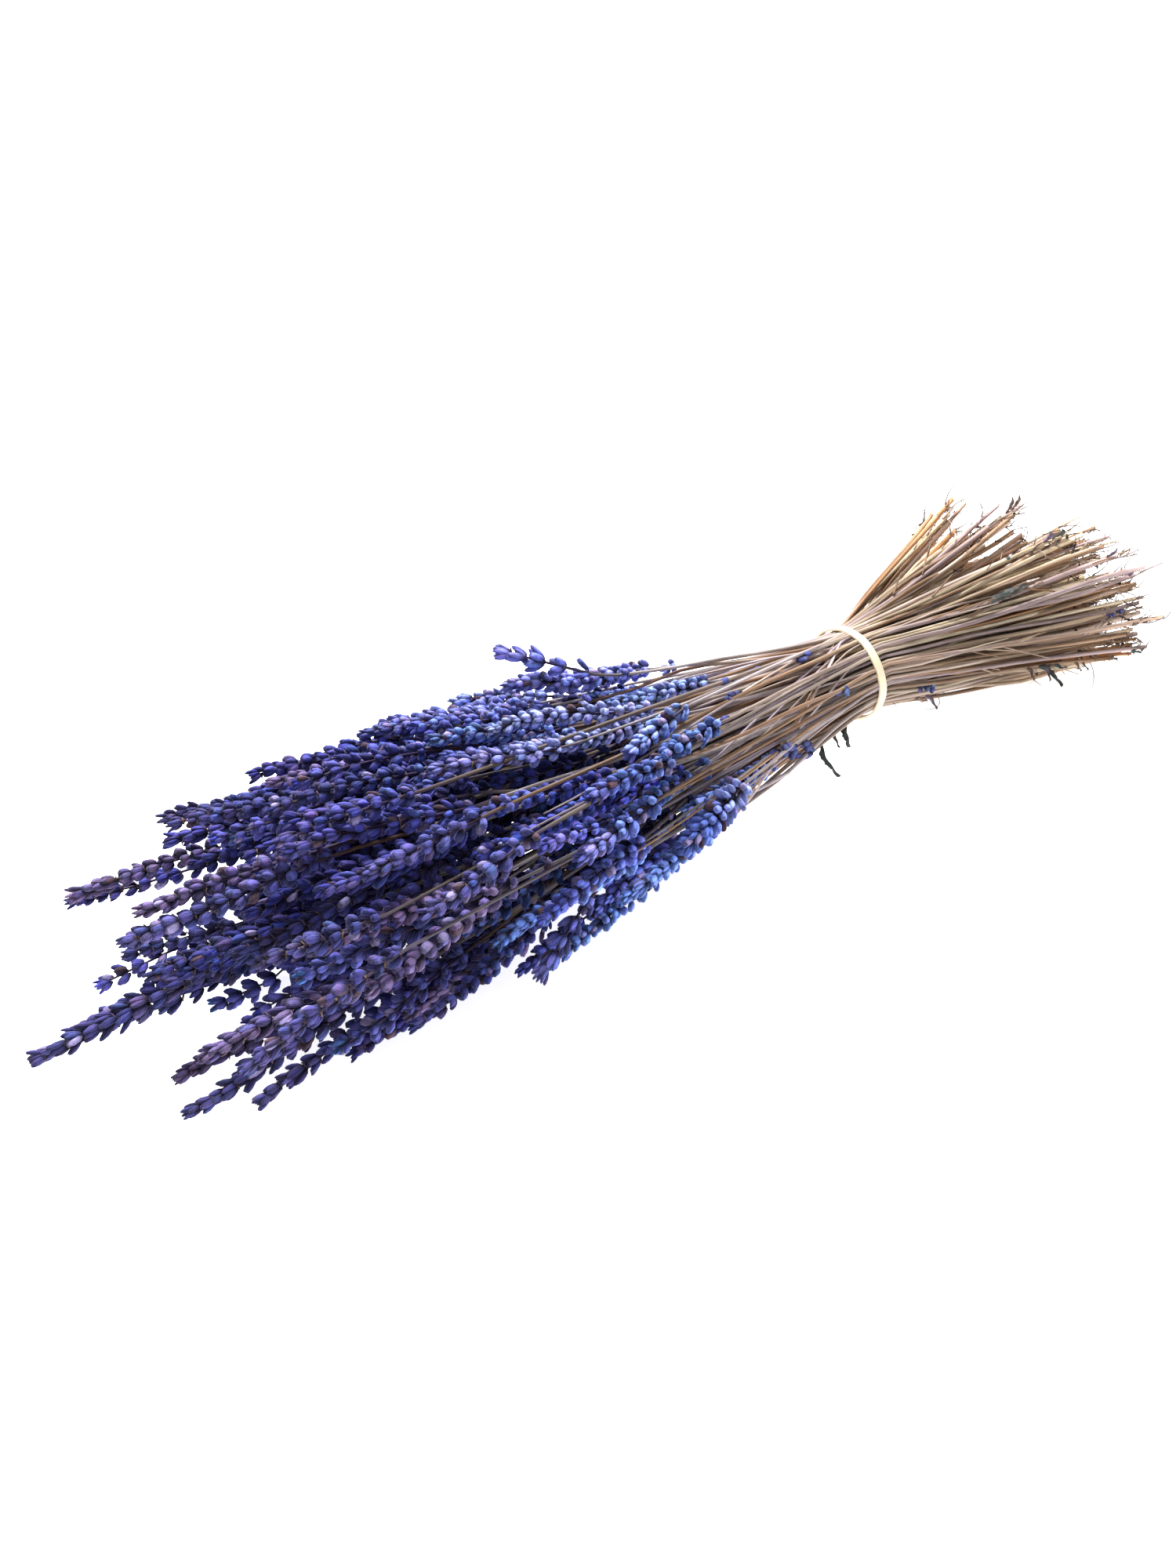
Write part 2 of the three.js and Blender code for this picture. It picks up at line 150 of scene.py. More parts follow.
def sprigs_of_the_rows(draws):
    sprigs = []
    for number, (name, count, row_base, row_length, ring, row_reach) in enumerate(ROWS):
        pairs = count // 2
        lean = min(PAIR.widest, PAIR.half_gap / row_reach)
        for pair in range(pairs):
            middle = FULL_TURN * (pair + 0.5 * (number % 2) + draws.spread(UNEVEN.angle)) / pairs
            shorter, wider = by_side(middle)
            base = row_base * (1 - shorter) + draws.spread(UNEVEN.base)
            for side in (-1, 1):
                sprigs.append(SimpleNamespace(
                    row=name,
                    node=f"spikes_{name}_{pair + 1}",
                    ring=ring,
                    angle=middle + side * lean,
                    base=base,
                    length=row_length * (1 + draws.spread(UNEVEN.length)),
                    reach=row_reach * (1 + wider) * (1 + draws.spread(UNEVEN.reach)),
                    phase=draws.turn(),
                    radius=SPIKE_RADIUS * (1 + draws.spread(UNEVEN.radius)),
                    cut=CUT_END.station + draws.spread(CUT_END.uneven),
                    stray=None,
                ))
    for name, base, length, ring, heel, tip in STRAYS:
        sprigs.append(dry_sprig(
            draws,
            row="stray",
            node=f"spike_{name}",
            ring=ring,
            angle=math.atan2(heel[1] - AXIS_HEIGHT, heel[0]),
            base=base,
            length=length,
            radius=SPIKE_RADIUS,
            stray=(np.array(heel), np.array(tip)),
        ))
    return sprigs


def towards_far_cut(angle):
    return max(0, math.cos(angle + CUT_END.swirl - CUT_FAR_SIDE.angle))


def seat_at_waist(sprigs, rings):
    """In each ring of the waist the stems lie side by side, in the order of their spikes."""
    for ring, radius in enumerate(rings):
        in_ring = [s for s in sprigs if s.ring == ring]
        for s in in_ring:
            s.angle = s.angle % FULL_TURN
            s.waist_radius = radius
        for slot, s in enumerate(sorted(in_ring, key=lambda s: s.angle)):
            s.waist_angle = FULL_TURN * (slot + 0.5) / len(in_ring)
    for rank, s in enumerate(sorted(sprigs, key=lambda s: s.ring)):
        far = towards_far_cut(s.waist_angle)
        s.cut_radius = CUT_END.radius * math.sqrt(1 - rank / len(sprigs)) * (1 + CUT_FAR_SIDE.wider * far)
        s.cut *= 1 - CUT_FAR_SIDE.shorter * far


def flared_point(s, station):
    share = max(0, station - WAIST_FLAT) / (s.base + s.length - WAIST_FLAT)
    radius = s.waist_radius + (s.reach - s.waist_radius) * share ** BUNCH.flare
    angle = s.waist_angle + (s.angle - s.waist_angle) * min(1, share * BUNCH.fan_out)
    squash = min(1, share * BUNCH.squash)
    wide = 1 + (BUNCH.wide - 1) * squash
    high = 1 + (BUNCH.high - 1) * squash
    return (
        BUNCH.bend * share ** 2 + radius * math.cos(angle) * wide,
        AXIS_HEIGHT + BUNCH.lift * share + radius * math.sin(angle) * high,
    )


def stray_point(s, station):
    heel, tip = s.stray
    ahead = (station - s.base) / s.length
    if ahead > 0:
        return heel + (tip - heel) * ahead
    share = max(0, station - WAIST_FLAT) / (s.base - WAIST_FLAT)
    heel_radius = math.hypot(heel[0], heel[1] - AXIS_HEIGHT)
    radius = s.waist_radius + (heel_radius - s.waist_radius) * share ** BUNCH.flare
    angle = s.waist_angle + (s.angle - s.waist_angle) * share
    return (radius * math.cos(angle), AXIS_HEIGHT + radius * math.sin(angle))


def thickness(s, stations):
    """A spike is thickest over its first two thirds and narrows to its tip. Its stem is thin."""
    along = (stations - s.base) / s.length
    narrowed = np.maximum(0, along - TIP_TAPER.start) / (1 - TIP_TAPER.start)
    thick = s.radius * (1 - TIP_TAPER.amount * narrowed ** TIP_TAPER.power)
    return np.where(along < -BEFORE_HEEL, STEM_CORNER, np.where(along > PAST_TIP, 0, thick))


def settle(sprigs, still=0):
    """The sprigs past the first still ones push each other apart, and settle on the table."""
    stations = np.arange(STATIONS) * STATION_STEP
    ideal = np.array([[(stray_point if s.stray else flared_point)(s, x) for x in stations] for s in sprigs])
    lines = np.array([s.line if hasattr(s, "line") else ideal[i] for i, s in enumerate(sprigs)])
    thick = np.array([thickness(s, stations) for s in sprigs])
    is_stem = thick <= STEM_CORNER
    heels = np.array([s.base for s in sprigs])
    lengths = np.array([s.length for s in sprigs])
    names = np.array([s.node for s in sprigs])
    order = np.arange(len(sprigs))
    # Two spikes of one pair grow together at their heels. All others keep clear of each other.
    first = np.minimum(order[still:, None], order[None, :])
    along = np.maximum(0, stations - heels[first][..., None]) / lengths[first][..., None]
    both = (thick[still:, None] > 0) & (thick[None] > 0)
    both &= (order[still:, None] != order[None, :])[..., None]
    spikes = ~is_stem[still:, None] & ~is_stem[None]
    linked = both & spikes & (names[still:, None] == names[None, :])[..., None]
    together = thick[still:, None] + thick[None]
    room = together + np.where(is_stem[still:, None] & is_stem[None], 0, CLEARANCE)
    room = np.where(linked, together * (PAIR.at_heel + PAIR.opening * along), room)
    share = thick[None] ** 2 / (thick[still:, None] ** 2 + thick[None] ** 2 + 1e-12)
    floor = thick - np.where(is_stem, 0, PRESSED_FLAT)
    for turn in range(SETTLING.rounds):
        pull = SETTLING.pull if turn < SETTLING.rounds * SETTLING.pull_until else 0
        stiff = SETTLING.stiff if turn < SETTLING.rounds * SETTLING.limp_from else SETTLING.limp
        gap = lines[None] - lines[still:, None]
        apart = np.hypot(gap[..., 0], gap[..., 1]) + 1e-9
        short = room - apart
        pushed = linked | (both & (apart <= REACH_OF_TOUCH) & (short > 0))
        push = np.where(pushed, short / apart * 0.5 * share, 0)
        moved = lines[still:] - (gap * push[..., None]).sum(1)
        moved += pull * (ideal[still:] - lines[still:])
        moved[..., 1] = np.maximum(moved[..., 1], floor[still:])
        lines[still:, 1:] = moved[:, 1:]
        shift = lines[still:] - ideal[still:]
        level = (shift[:, :-2] + shift[:, 2:]) / 2
        lines[still:, 1:-1] += stiff * (level - shift[:, 1:-1])
    for s, line in zip(sprigs, lines):
        s.line = line


outer_sprigs = sprigs_of_the_rows(Draws(77))
seat_at_waist(outer_sprigs, WAIST_RINGS)
settle(outer_sprigs)

# As many sprigs again lie within the thatch, and show between the outer ones. Each of their
# waist rings is its radius and how many stems it holds.
WITHIN_RINGS = ((10.2, 30), (8.3, 24), (6.4, 18), (4.5, 13), (2.6, 7))
WITHIN = SimpleNamespace(heels=(88, 232), length=(44, 56), radius=3.6, reach=0.92, uneven=0.2)
GOLDEN_TURN = 2.39996
draws = Draws(4021)
inner_sprigs = []
ring_of = [ring for ring, (_, count) in enumerate(WITHIN_RINGS) for _ in range(count)]
for number, ring in enumerate(ring_of):
    depth = math.sqrt(1 - (number + 0.5) / len(ring_of))
    angle = number * GOLDEN_TURN + draws.spread(WITHIN.uneven)
    shorter, wider = by_side(angle)
    base = draws.between(*WITHIN.heels)
    envelope = np.interp(base, [row[2] for row in ROWS[:5]], [row[5] for row in ROWS[:5]]) * (1 + wider)
    inner_sprigs.append(dry_sprig(
        draws,
        row="within",
        node=f"within_{number}",
        ring=ring,
        angle=angle,
        base=base * (1 - shorter),
        length=draws.between(*WITHIN.length),
        reach=envelope * depth * WITHIN.reach,
        radius=WITHIN.radius,
        stray=None,
    ))
seat_at_waist(inner_sprigs, [radius for radius, _ in WITHIN_RINGS])
settle(outer_sprigs + inner_sprigs, still=len(outer_sprigs))
sprigs = outer_sprigs + inner_sprigs

# A few more lie over the thatch, aslant. Each: the row that it is shown with, the stations of its
# heel and tip, and how far across the bunch, seen from its near side, it lies at the band, at its
# heel and at its tip.
NEAR_VIEW = 0.726
TOWARD = np.array([math.cos(NEAR_VIEW), math.sin(NEAR_VIEW)])
ACROSS = np.array([-math.sin(NEAR_VIEW), math.cos(NEAR_VIEW)])
WAIST_MIDDLE = np.array([0, AXIS_HEIGHT])
LAID_OVER = (
    ("over", 185, 223, 9, 5, 2), ("over", 174, 214, 2, -4, -15), ("over", 224, 254, 5, -8, -4),
    ("over", 222, 270, -9, -18, -26), ("blue", 90, 121, -9, -18, -30), ("over", 129, 164, -3, -11, -18),
    ("over", 196, 238, 12, 19, 24), ("over", 148, 186, 12, 14, 22), ("over", 90, 127, 4, 2.8, 0.7),
    ("over", 117, 152, -5, -2.7, 0.1), ("over", 140, 174, -8, -11.4, -10.5), ("over", 99, 130, 13, 11.8, 4.9),
)
# The bare ones have lost their spike. Each: the station of its end, and how far across it lies
# at the band and at that end.
BARE = (
    (88, 13, -27), (110, 12, -11), (166, 13, -1), (140, -8, -22), (186, 3, -4), (96, 8, -13), (124, 14, 4),
    (76, 4, -18), (132, -3, 9), (104, -9, -23), (84, 9, 22), (66, 15, -19), (98, 15, -31), (80, 10, -7),
)
OVER = SimpleNamespace(radius=4.0, before_heel=4, cut_radius=(0.8, 1.1))


def seen_from_near_side(places):
    """How high towards the near side, and how far across, each place in a section lies."""
    return (places - WAIST_MIDDLE) @ TOWARD, (places - WAIST_MIDDLE) @ ACROSS


def laid_over(others, heel, tip, at_band, at_heel, at_tip, radius):
    """The line of a sprig that rests on the highest of the others, as straight as they allow."""
    stations = np.arange(STATIONS) * STATION_STEP
    across = np.interp(stations, [WAIST_FLAT, heel, tip], [at_band, at_heel, at_tip])
    own = np.where(stations > heel - OVER.before_heel, radius, STEM_CORNER)
    thick = np.array([thickness(s, stations) for s in others])
    tops, places = seen_from_near_side(np.array([s.line for s in others]))
    beside = places - across
    reach = own + thick
    under = (np.abs(beside) < reach) & (thick > 0)
    height = np.where(under, tops + np.sqrt(np.maximum(0, reach ** 2 - beside ** 2)), 0).max(0)
    height[0] = math.sqrt(max(0, (WAIST_RINGS[0] + STEM_CORNER / 2) ** 2 - at_band ** 2))
    last = min(int(tip / STATION_STEP) + 1, STATIONS - 1)
    taut = height.copy()
    for i in range(last):
        for j in range(i + 2, last + 1):
            between = np.arange(i + 1, j)
            level = height[i] + (height[j] - height[i]) * (between - i) / (j - i)
            taut[between] = np.maximum(taut[between], level)
    taut[last:] = taut[last]
    return np.outer(across, ACROSS) + np.outer(taut, TOWARD) + WAIST_MIDDLE


draws = Draws(6007)
for row, heel, tip, at_band, at_heel, at_tip in LAID_OVER + tuple(
        ("bare", end, end, at_band, at_end, at_end) for end, at_band, at_end in BARE):
    line = laid_over(outer_sprigs, heel, tip, at_band, at_heel, at_tip, 0 if row == "bare" else OVER.radius)
    sprigs.append(dry_sprig(
        draws,
        row=row,
        base=heel,
        length=max(1, tip - heel),
        line=line,
        waist_angle=math.atan2(line[0][1] - AXIS_HEIGHT, line[0][0]),
        cut_radius=CUT_END.radius * draws.between(*OVER.cut_radius),
        radius=OVER.radius,
    ))

# Behind the band lie stubs too: stems that broke off at the band, and split ones. Of all the
# stems' ends, those that were cut longest have worn down.
STUBS = SimpleNamespace(many=110, start=3, cut_radius=(0.85, 1.05), broken_off=(-4, 14))
ENDS = SimpleNamespace(stray=2.6, long=-129, kept=0.6)
for number in range(STUBS.many):
    depth = math.sqrt(draws.share())
    angle = draws.turn()
    at_waist = np.array([math.cos(angle), math.sin(angle)]) * WAIST_RINGS[0] * depth + WAIST_MIDDLE
    far = towards_far_cut(angle)
    sprigs.append(SimpleNamespace(
        row="stub",
        base=STUBS.start,
        line=np.tile(at_waist, (STATIONS, 1)),
        waist_angle=angle,
        cut_radius=CUT_END.radius * depth * draws.between(*STUBS.cut_radius) * (1 + CUT_FAR_SIDE.wider * far),
        phase=draws.turn(),
        cut=(CUT_END.station + draws.between(*STUBS.broken_off)) * (1 - CUT_FAR_SIDE.shorter * far),
    ))
for s in sprigs:
    s.cut += (1 - ENDS.kept) * max(0, ENDS.long - s.cut)
    s.end_strays = np.array([draws.spread(ENDS.stray), draws.spread(ENDS.stray)])


def centre_line(s, stations):
    """Points of a sprig's centre line, from the band's middle, in millimetres."""
    stations = np.asarray(stations, float)
    place = np.clip(stations / STATION_STEP, 0, STATIONS - 1.001)
    m = place.astype(int)
    part = (place - m)[..., None]
    ahead = s.line[m] * (1 - part) + s.line[m + 1] * part
    share = np.maximum(0, -stations - WAIST_FLAT) / (-s.cut - WAIST_FLAT)
    angle = s.waist_angle + CUT_END.swirl
    end = np.array([CUT_END.bend + s.cut_radius * BUNCH.wide * math.cos(angle),
                    CUT_END.axis + s.cut_radius * BUNCH.high * math.sin(angle)]) + s.end_strays
    behind = s.line[0] + (end - s.line[0]) * share[..., None]
    behind[..., 1] = np.maximum(behind[..., 1], CUT_END.lowest)
    across = np.where((stations >= 0)[..., None], ahead, behind)
    return np.concatenate([stations[..., None], across], -1)


ROOM = [(np.array(corner) - (BAND_PLACE.x, BAND_PLACE.y, 0)) / MM for corner in cad_box]


def kept_in(points):
    """The points of a copy, moved back into the part's box where they stand out of it."""
    return points + np.maximum(0, ROOM[0] - points.min(0)) + np.minimum(0, ROOM[1] - points.max(0))


def in_metres(points):
    """Points measured from the band's middle, put in the part's frame."""
    return np.asarray(points) * MM + np.array([BAND_PLACE.x, BAND_PLACE.y, 0])


# The stems. Each is the dry stalk of one sprig, four-cornered and ribbed, about two
# millimetres thick, and runs on through its spike. The band packs them tight, and behind
# it they fan out to the cut.
STEM = SimpleNamespace(sides=6, rings_behind=11, rings_ahead=18, face=0.5, slant=1.1, short_of_tip=4)
STEM_THICK = SimpleNamespace(cut=0.96, heel=0.5, tip=0.32, uneven=0.2, bare=0.62)
SWAY = SimpleNamespace(amount=0.6, behind=1.2, from_band=30, shortest=80, longest=180)
TIP_STRAY = SimpleNamespace(amount=2.5, over=40, most=1.2, power=1.5)
STEM_TONES = ("#8f8389", "#b0a6a9", "#8a6b54", "#978a82", "#8a7f8c", "#bcb3b2", "#9a7c62", "#8c7c73")
FAN_TONES = ("#9a8c75", "#8f7159", "#b0a18a", "#7d6652", "#a99580", "#b9ab94", "#8f7a6c", "#9c7450",
             "#918080", "#b5a499", "#7a6049")
STEM_SHADE = (1.0, 1.3)
FAN_SHADE = (0.85, 1.15)
BARE_SHADE = 1.7
# Painted shade: the stems are darker where they run in among the heads.
SHADE_AMONG_HEADS = ((50, 75, 125), (1, 0.85, 0.42))
FAN_TURNS_TO_STEM = (-30, 50)
PALER_AT_CUT = SimpleNamespace(over=45, shade=2.3)
IN_THE_SPIKE = (-6, 2)
SPIKE_AXIS = "#35294a"
PITH = "#cdb893"


def linear(colour):
    channels = [int(colour[i:i + 2], 16) / 255 for i in (1, 3, 5)]
    return np.array([c / 12.92 if c <= 0.04045 else ((c + 0.055) / 1.055) ** 2.4 for c in channels])


def unit(vectors):
    return vectors / np.linalg.norm(vectors, axis=-1, keepdims=True)


def across_it(ahead):
    """Two directions across a direction, or across each of many. The first is level."""
    side = unit(np.cross([0, 0, 1], ahead))
    return side, np.cross(ahead, side)


def mix(first, second, share):
    return first + (second - first) * share


def turned(first, second, angle):
    """The first of two directions, turned by an angle towards the second."""
    return first * math.cos(angle) + second * math.sin(angle)


class Shape:
    """A small closed shape made by bmesh, kept as points, faces and places on its own skin."""

    def __init__(self, bm, around_of, along_of):
        bmesh.ops.recalc_face_normals(bm, faces=bm.faces)
        bm.verts.index_update()
        self.points = np.array([v.co[:] for v in bm.verts])
        faces = [[v.index for v in f.verts] for f in bm.faces]
        self.corners = np.array([i for face in faces for i in face])
        self.sizes = np.array([len(face) for face in faces])
        skin = []
        for f in bm.faces:
            middle = around_of(f.calc_center_median())
            for v in f.verts:
                turn = (around_of(v.co) - middle + 0.5) % 1 - 0.5
                skin.append((middle + turn, along_of(v.co)))
        self.skin = np.array(skin)
        bm.free()


def around_x(co):
    return math.atan2(co.z, co.y) / FULL_TURN


def finished(name, mesh, material, slot, nodes=()):
    """The object of a mesh: it rides on the part, stands for its nodes and wears its finish."""
    piece = bpy.data.objects.new(name, mesh)
    bpy.context.scene.collection.objects.link(piece)
    mesh.materials.append(material)
    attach(piece, "root")
    if nodes:
        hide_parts(*nodes)
    return piece


class Growth:
    """Collects many placed copies of small shapes, and makes one piece of them."""

    def __init__(self):
        self.points, self.corners, self.sizes, self.skins, self.tints = [], [], [], [], []
        self.count = 0

    def add(self, shape, points, tint, skin=None):
        self.corners.append(shape.corners + self.count)
        self.sizes.append(shape.sizes)
        self.skins.append(shape.skin if skin is None else skin)
        self.points.append(kept_in(points))
        self.tints.append(np.broadcast_to(tint, (len(points), 3)))
        self.count += len(points)

    def piece(self, name, material, slot, nodes=()):
        corners = np.concatenate(self.corners)
        sizes = np.concatenate(self.sizes)
        mesh = bpy.data.meshes.new(name)
        mesh.vertices.add(self.count)
        mesh.vertices.foreach_set("co", in_metres(np.concatenate(self.points)).astype(np.float32).ravel())
        mesh.loops.add(len(corners))
        mesh.loops.foreach_set("vertex_index", corners.astype(np.int32))
        mesh.polygons.add(len(sizes))
        mesh.polygons.foreach_set("loop_start", np.concatenate([[0], np.cumsum(sizes)[:-1]]).astype(np.int32))
        mesh.update(calc_edges=True)
        mesh.shade_smooth()
        skin = mesh.uv_layers.new(name="skin")
        skin.uv.foreach_set("vector", np.concatenate(self.skins).astype(np.float32).ravel())
        tint = mesh.attributes.new("tint", "FLOAT_COLOR", "POINT")
        opaque = np.insert(np.concatenate(self.tints), 3, 1, axis=1)
        tint.data.foreach_set("color", opaque.astype(np.float32).ravel())
        return finished(name, mesh, material, slot, nodes)


def straight_tube(sides, rings):
    """A closed tube of radius 1 along +X, with its rings one apart."""
    bm = bmesh.new()
    circle = bmesh.ops.create_circle(bm, cap_ends=True, segments=sides, radius=1)
    bmesh.ops.rotate(bm, verts=circle["verts"], matrix=Matrix.Rotation(math.pi / 2, 3, "Y"))
    end = bm.faces[:]
    for _ in range(rings - 1):
        grown = bmesh.ops.extrude_face_region(bm, geom=end)["geom"]
        moved = [g for g in grown if isinstance(g, bmesh.types.BMVert)]
        bmesh.ops.translate(bm, verts=moved, vec=(1, 0, 0))
        end = [g for g in grown if isinstance(g, bmesh.types.BMFace)]
    return Shape(bm, around_x, lambda co: co.x)


def bent_along(tube, line, radii, turn=0, slant=0):
    """The points of a straight tube, bent along a line that has a point for each of its rings."""
    ahead = unit(np.gradient(line, axis=0))
    side, up = across_it(ahead)
    ring = np.rint(tube.points[:, 0]).astype(int)
    y, z = tube.points[:, 1], tube.points[:, 2]
    across, over = turned(y, -z, turn), turned(z, y, turn)
    radius = np.asarray(radii)[ring]
    points = line[ring] + side[ring] * (across * radius)[:, None] + up[ring] * (over * radius)[:, None]
    first = ring == 0
    points[first] += ahead[0] * (across[first] * slant)[:, None]
    return points


def swayed(s, stations, draws):
    """A stem's line with the slow waves that a dried stem keeps, and its tip gone astray."""
    line = centre_line(s, stations)
    wave = FULL_TURN / draws.between(SWAY.shortest, SWAY.longest)
    start = draws.turn()
    freedom = np.clip((np.abs(stations) - WAIST_FLAT) / SWAY.from_band, 0, 1)
    amount = np.where(stations < 0, SWAY.behind, SWAY.amount)
    astray = TIP_STRAY.amount * np.clip((stations - s.base) / TIP_STRAY.over, 0, TIP_STRAY.most) ** TIP_STRAY.power
    for swing in (amount * freedom * np.sin(wave * stations + start), astray * (s.row != "within")):
        turn = draws.turn()
        line[:, 1] += swing * math.cos(turn)
        line[:, 2] += swing * math.sin(turn)
    return np.clip(line, ROOM[0] + STEM_CORNER, ROOM[1] - STEM_CORNER)


def stem_at(s, stations):
    """Points on a stem that has been drawn, at other stations."""
    return swayed(s, np.array(stations), Draws(s.sway))


def rgba(colour, shade=1):
    return (*linear(colour) * shade, 1)


def add_node(tree, kind, inputs=None, output=0, **settings):
    """Adds a shader node with its settings, sets or links its inputs, and gives one output."""
    made = tree.nodes.new("ShaderNode" + kind)
    for name, value in settings.items():
        setattr(made, name, value)
    for name, value in (inputs or {}).items():
        if isinstance(value, bpy.types.NodeSocket):
            tree.links.new(value, made.inputs[name])
        else:
            made.inputs[name].default_value = value
    return made.outputs[output] if made.outputs else None


def new_material(name):
    """A named material that has no nodes yet, and the way to add them to it."""
    material = bpy.data.materials.new(name)
    material.use_nodes = True
    material.node_tree.nodes.clear()
    return material, partial(add_node, material.node_tree)


# Dried stalk, cut and air dried: dull, with fine ribs and streaks that run along it. The
# streaks are drawn a third of a millimetre wide, and the tint is each stem's own, with painted
# shade where it runs among the heads.
def dried_stalk():
    material, add = new_material("dried_stalk")
    skin = add("UVMap", uv_map="skin")
    fine = add("Mapping", {"Vector": skin, "Scale": (16, 0.05, 1)})
    streaks = add("TexNoise", {"Vector": fine, "Scale": 1, "Detail": 4, "Roughness": 0.6})
    broad = add("Mapping", {"Vector": skin, "Scale": (1.2, 0.09, 1)})
    blotches = add("TexNoise", {"Vector": broad, "Scale": 1, "Detail": 3})
    tint = add("Attribute", output="Color", attribute_name="tint")
    dark = add("MixRGB", {"Fac": 1.0, "Color1": tint, "Color2": (0.72, 0.69, 0.67, 1)}, blend_type="MULTIPLY")
    pale = add("MixRGB", {"Fac": 1.0, "Color1": tint, "Color2": (1.24, 1.22, 1.2, 1)}, blend_type="MULTIPLY")
    share = add("MapRange", {"Value": streaks, "From Min": 0.36, "From Max": 0.64})
    streaked = add("MixRGB", {"Fac": share, "Color1": dark, "Color2": pale})
    stain = add("MapRange", {"Value": blotches, "From Min": 0.55, "From Max": 0.75, "To Max": 0.38})
    colour = add("MixRGB", {"Fac": stain, "Color1": streaked, "Color2": rgba("#665047")})
    relief = add("Bump", {"Height": streaks, "Strength": 0.6, "Distance": 0.2 * MM})
    add("OutputMaterial", {"Surface": add("BsdfPrincipled", {
        "Base Color": colour, "Normal": relief, "Roughness": 0.62, "Specular IOR Level": 0.35})})
    return material


stalk = dried_stalk()
draws = Draws(911)
stem_tube = straight_tube(STEM.sides, STEM.rings_behind + STEM.rings_ahead)
ring = np.rint(stem_tube.points[:, 0]).astype(int)
stems = Growth()
for s in sprigs:
    bare = s.row == "bare"
    has_spike = s.row not in ("bare", "stub")
    tip = s.base + s.length - STEM.short_of_tip if has_spike else s.base
    behind = np.linspace(s.cut + STEM.face, -WAIST_FLAT, STEM.rings_behind - 1)
    ahead = np.linspace(min(tip - 1, WAIST_FLAT), tip, STEM.rings_ahead)
    stations = np.concatenate([[s.cut], behind, ahead])
    s.sway = draws.seed
    line = swayed(s, stations, draws)
    size = (1 + draws.spread(STEM_THICK.uneven)) * (STEM_THICK.bare if bare else 1)
    radii = size * np.interp(stations, [s.cut, s.base, tip], [STEM_THICK.cut, STEM_THICK.heel, STEM_THICK.tip])
    before = linear(draws.pick(STEM_TONES)) * draws.between(*STEM_SHADE) * (BARE_SHADE if bare else 1)
    after = linear(draws.pick(FAN_TONES)) * draws.between(*FAN_SHADE)
    pale = np.interp(stations, [s.cut, s.cut + PALER_AT_CUT.over], [PALER_AT_CUT.shade, 1])[:, None]
    # painted shade among the heads
    deep = np.interp(stations, *SHADE_AMONG_HEADS)[:, None]
    tints = mix(after * pale, before * deep, np.interp(stations, FAN_TURNS_TO_STEM, (0, 1))[:, None])
    inside = np.interp(stations - s.base, IN_THE_SPIKE, (0, 1))[:, None] * has_spike
    tints = mix(tints, linear(SPIKE_AXIS), inside)
    tints[0] = linear(PITH)
    skin = stem_tube.skin.copy()
    skin[:, 1] = np.interp(skin[:, 1], np.arange(len(stations)), stations)
    skin += (draws.share() * 9, draws.share() * 500)
    points = bent_along(stem_tube, line, radii, turn=s.phase, slant=STEM.slant)
    stems.add(stem_tube, points, tints[ring], skin)
stems.piece("stems_and_cut_ends", stalk, "dry_stem", ["stems"])

# The splinters. They are strips of the stems' own skin, split off by the cut and by handling,
# and they curl as they dry. Most stand out of the cut ends, some lie across the stems as
# broken pieces, and a few hang under the bunch.
FIBRE = SimpleNamespace(each=5, sides=3, rings=6, length=(3, 15), thick=(0.16, 0.5), narrows=0.75,
                        curl=(-2.2, 2.2), stray=0.6, back=30, towards_cut=1.6, off_axis=0.7, aligned_over=20,
                        shade=(0.7, 1.25))
BROKEN = SimpleNamespace(many=26, length=(8, 22), thick=(0.3, 0.6), stations=(-118, -26), sides=(-0.2, 1.9),
                         off_axis=0.9, aslant=0.45, curl=(-0.5, 0.3), shade=(0.8, 1.2))
FIBRE_TONES = ("#a39086", "#a89a8c", "#7a675c", "#5a4a45", "#8f7c78", "#6d5b60", "#4c4148", "#b9aa9c")
# Each hanging one: station, angle of the side that it hangs from, length and curl.
HANGING = (
    (-78, -0.45, 11, 2.2), (-86, -0.5, 12, -1.6), (-80, -0.55, 8, 2.6), (-36, -0.75, 15, 2.4),
    (-40, -0.7, 9, -2), (-12, -0.7, 6, 1.5), (-60, -0.7, 7, 1.8), (-52, 1.0, 24, 1.1),
    (-66, 1.2, 20, -0.9), (-70, 0.8, 22, 0.9),
)
HANGING_THREAD = SimpleNamespace(thick=0.2, off_axis=0.4, out=0.8, along=0.5, tone="#6a5a4c")
CLEAR_OF_CUT = 3


def outward(angle):
    """The direction out of the bunch at an angle round its axis."""
    return np.array([0, math.cos(angle), math.sin(angle)])


def curled(root, way, bend, length, curl, steps):
    """A line from a root along way, which turns towards bend by the angle curl on its length."""
    angles = curl * (np.arange(steps) + 0.5) / steps
    ways = np.cos(angles)[:, None] * way + np.sin(angles)[:, None] * bend
    return root + np.concatenate([np.zeros((1, 3)), np.cumsum(ways * length / steps, axis=0)])


def on_outermost(station, out, off_axis):
    """A place off the axis of the outermost stem on one side, among those that reach a station."""
    reaching = [s for s in outer_sprigs if s.cut < station - CLEAR_OF_CUT]
    host = max(reaching, key=lambda s: centre_line(s, station) @ out)
    return stem_at(host, [station])[0] + out * off_axis


def add_splinter(root, way, bend, sizes, tones, taper):
    """One curling strip: its length, curl, tone and thickness are drawn."""
    line = curled(root, way, bend, draws.between(*sizes.length), draws.between(*sizes.curl), FIBRE.rings - 1)
    tint = linear(draws.pick(tones)) * draws.between(*sizes.shade)
    fibres.add(fibre_tube, bent_along(fibre_tube, line, draws.between(*sizes.thick) * taper), tint)


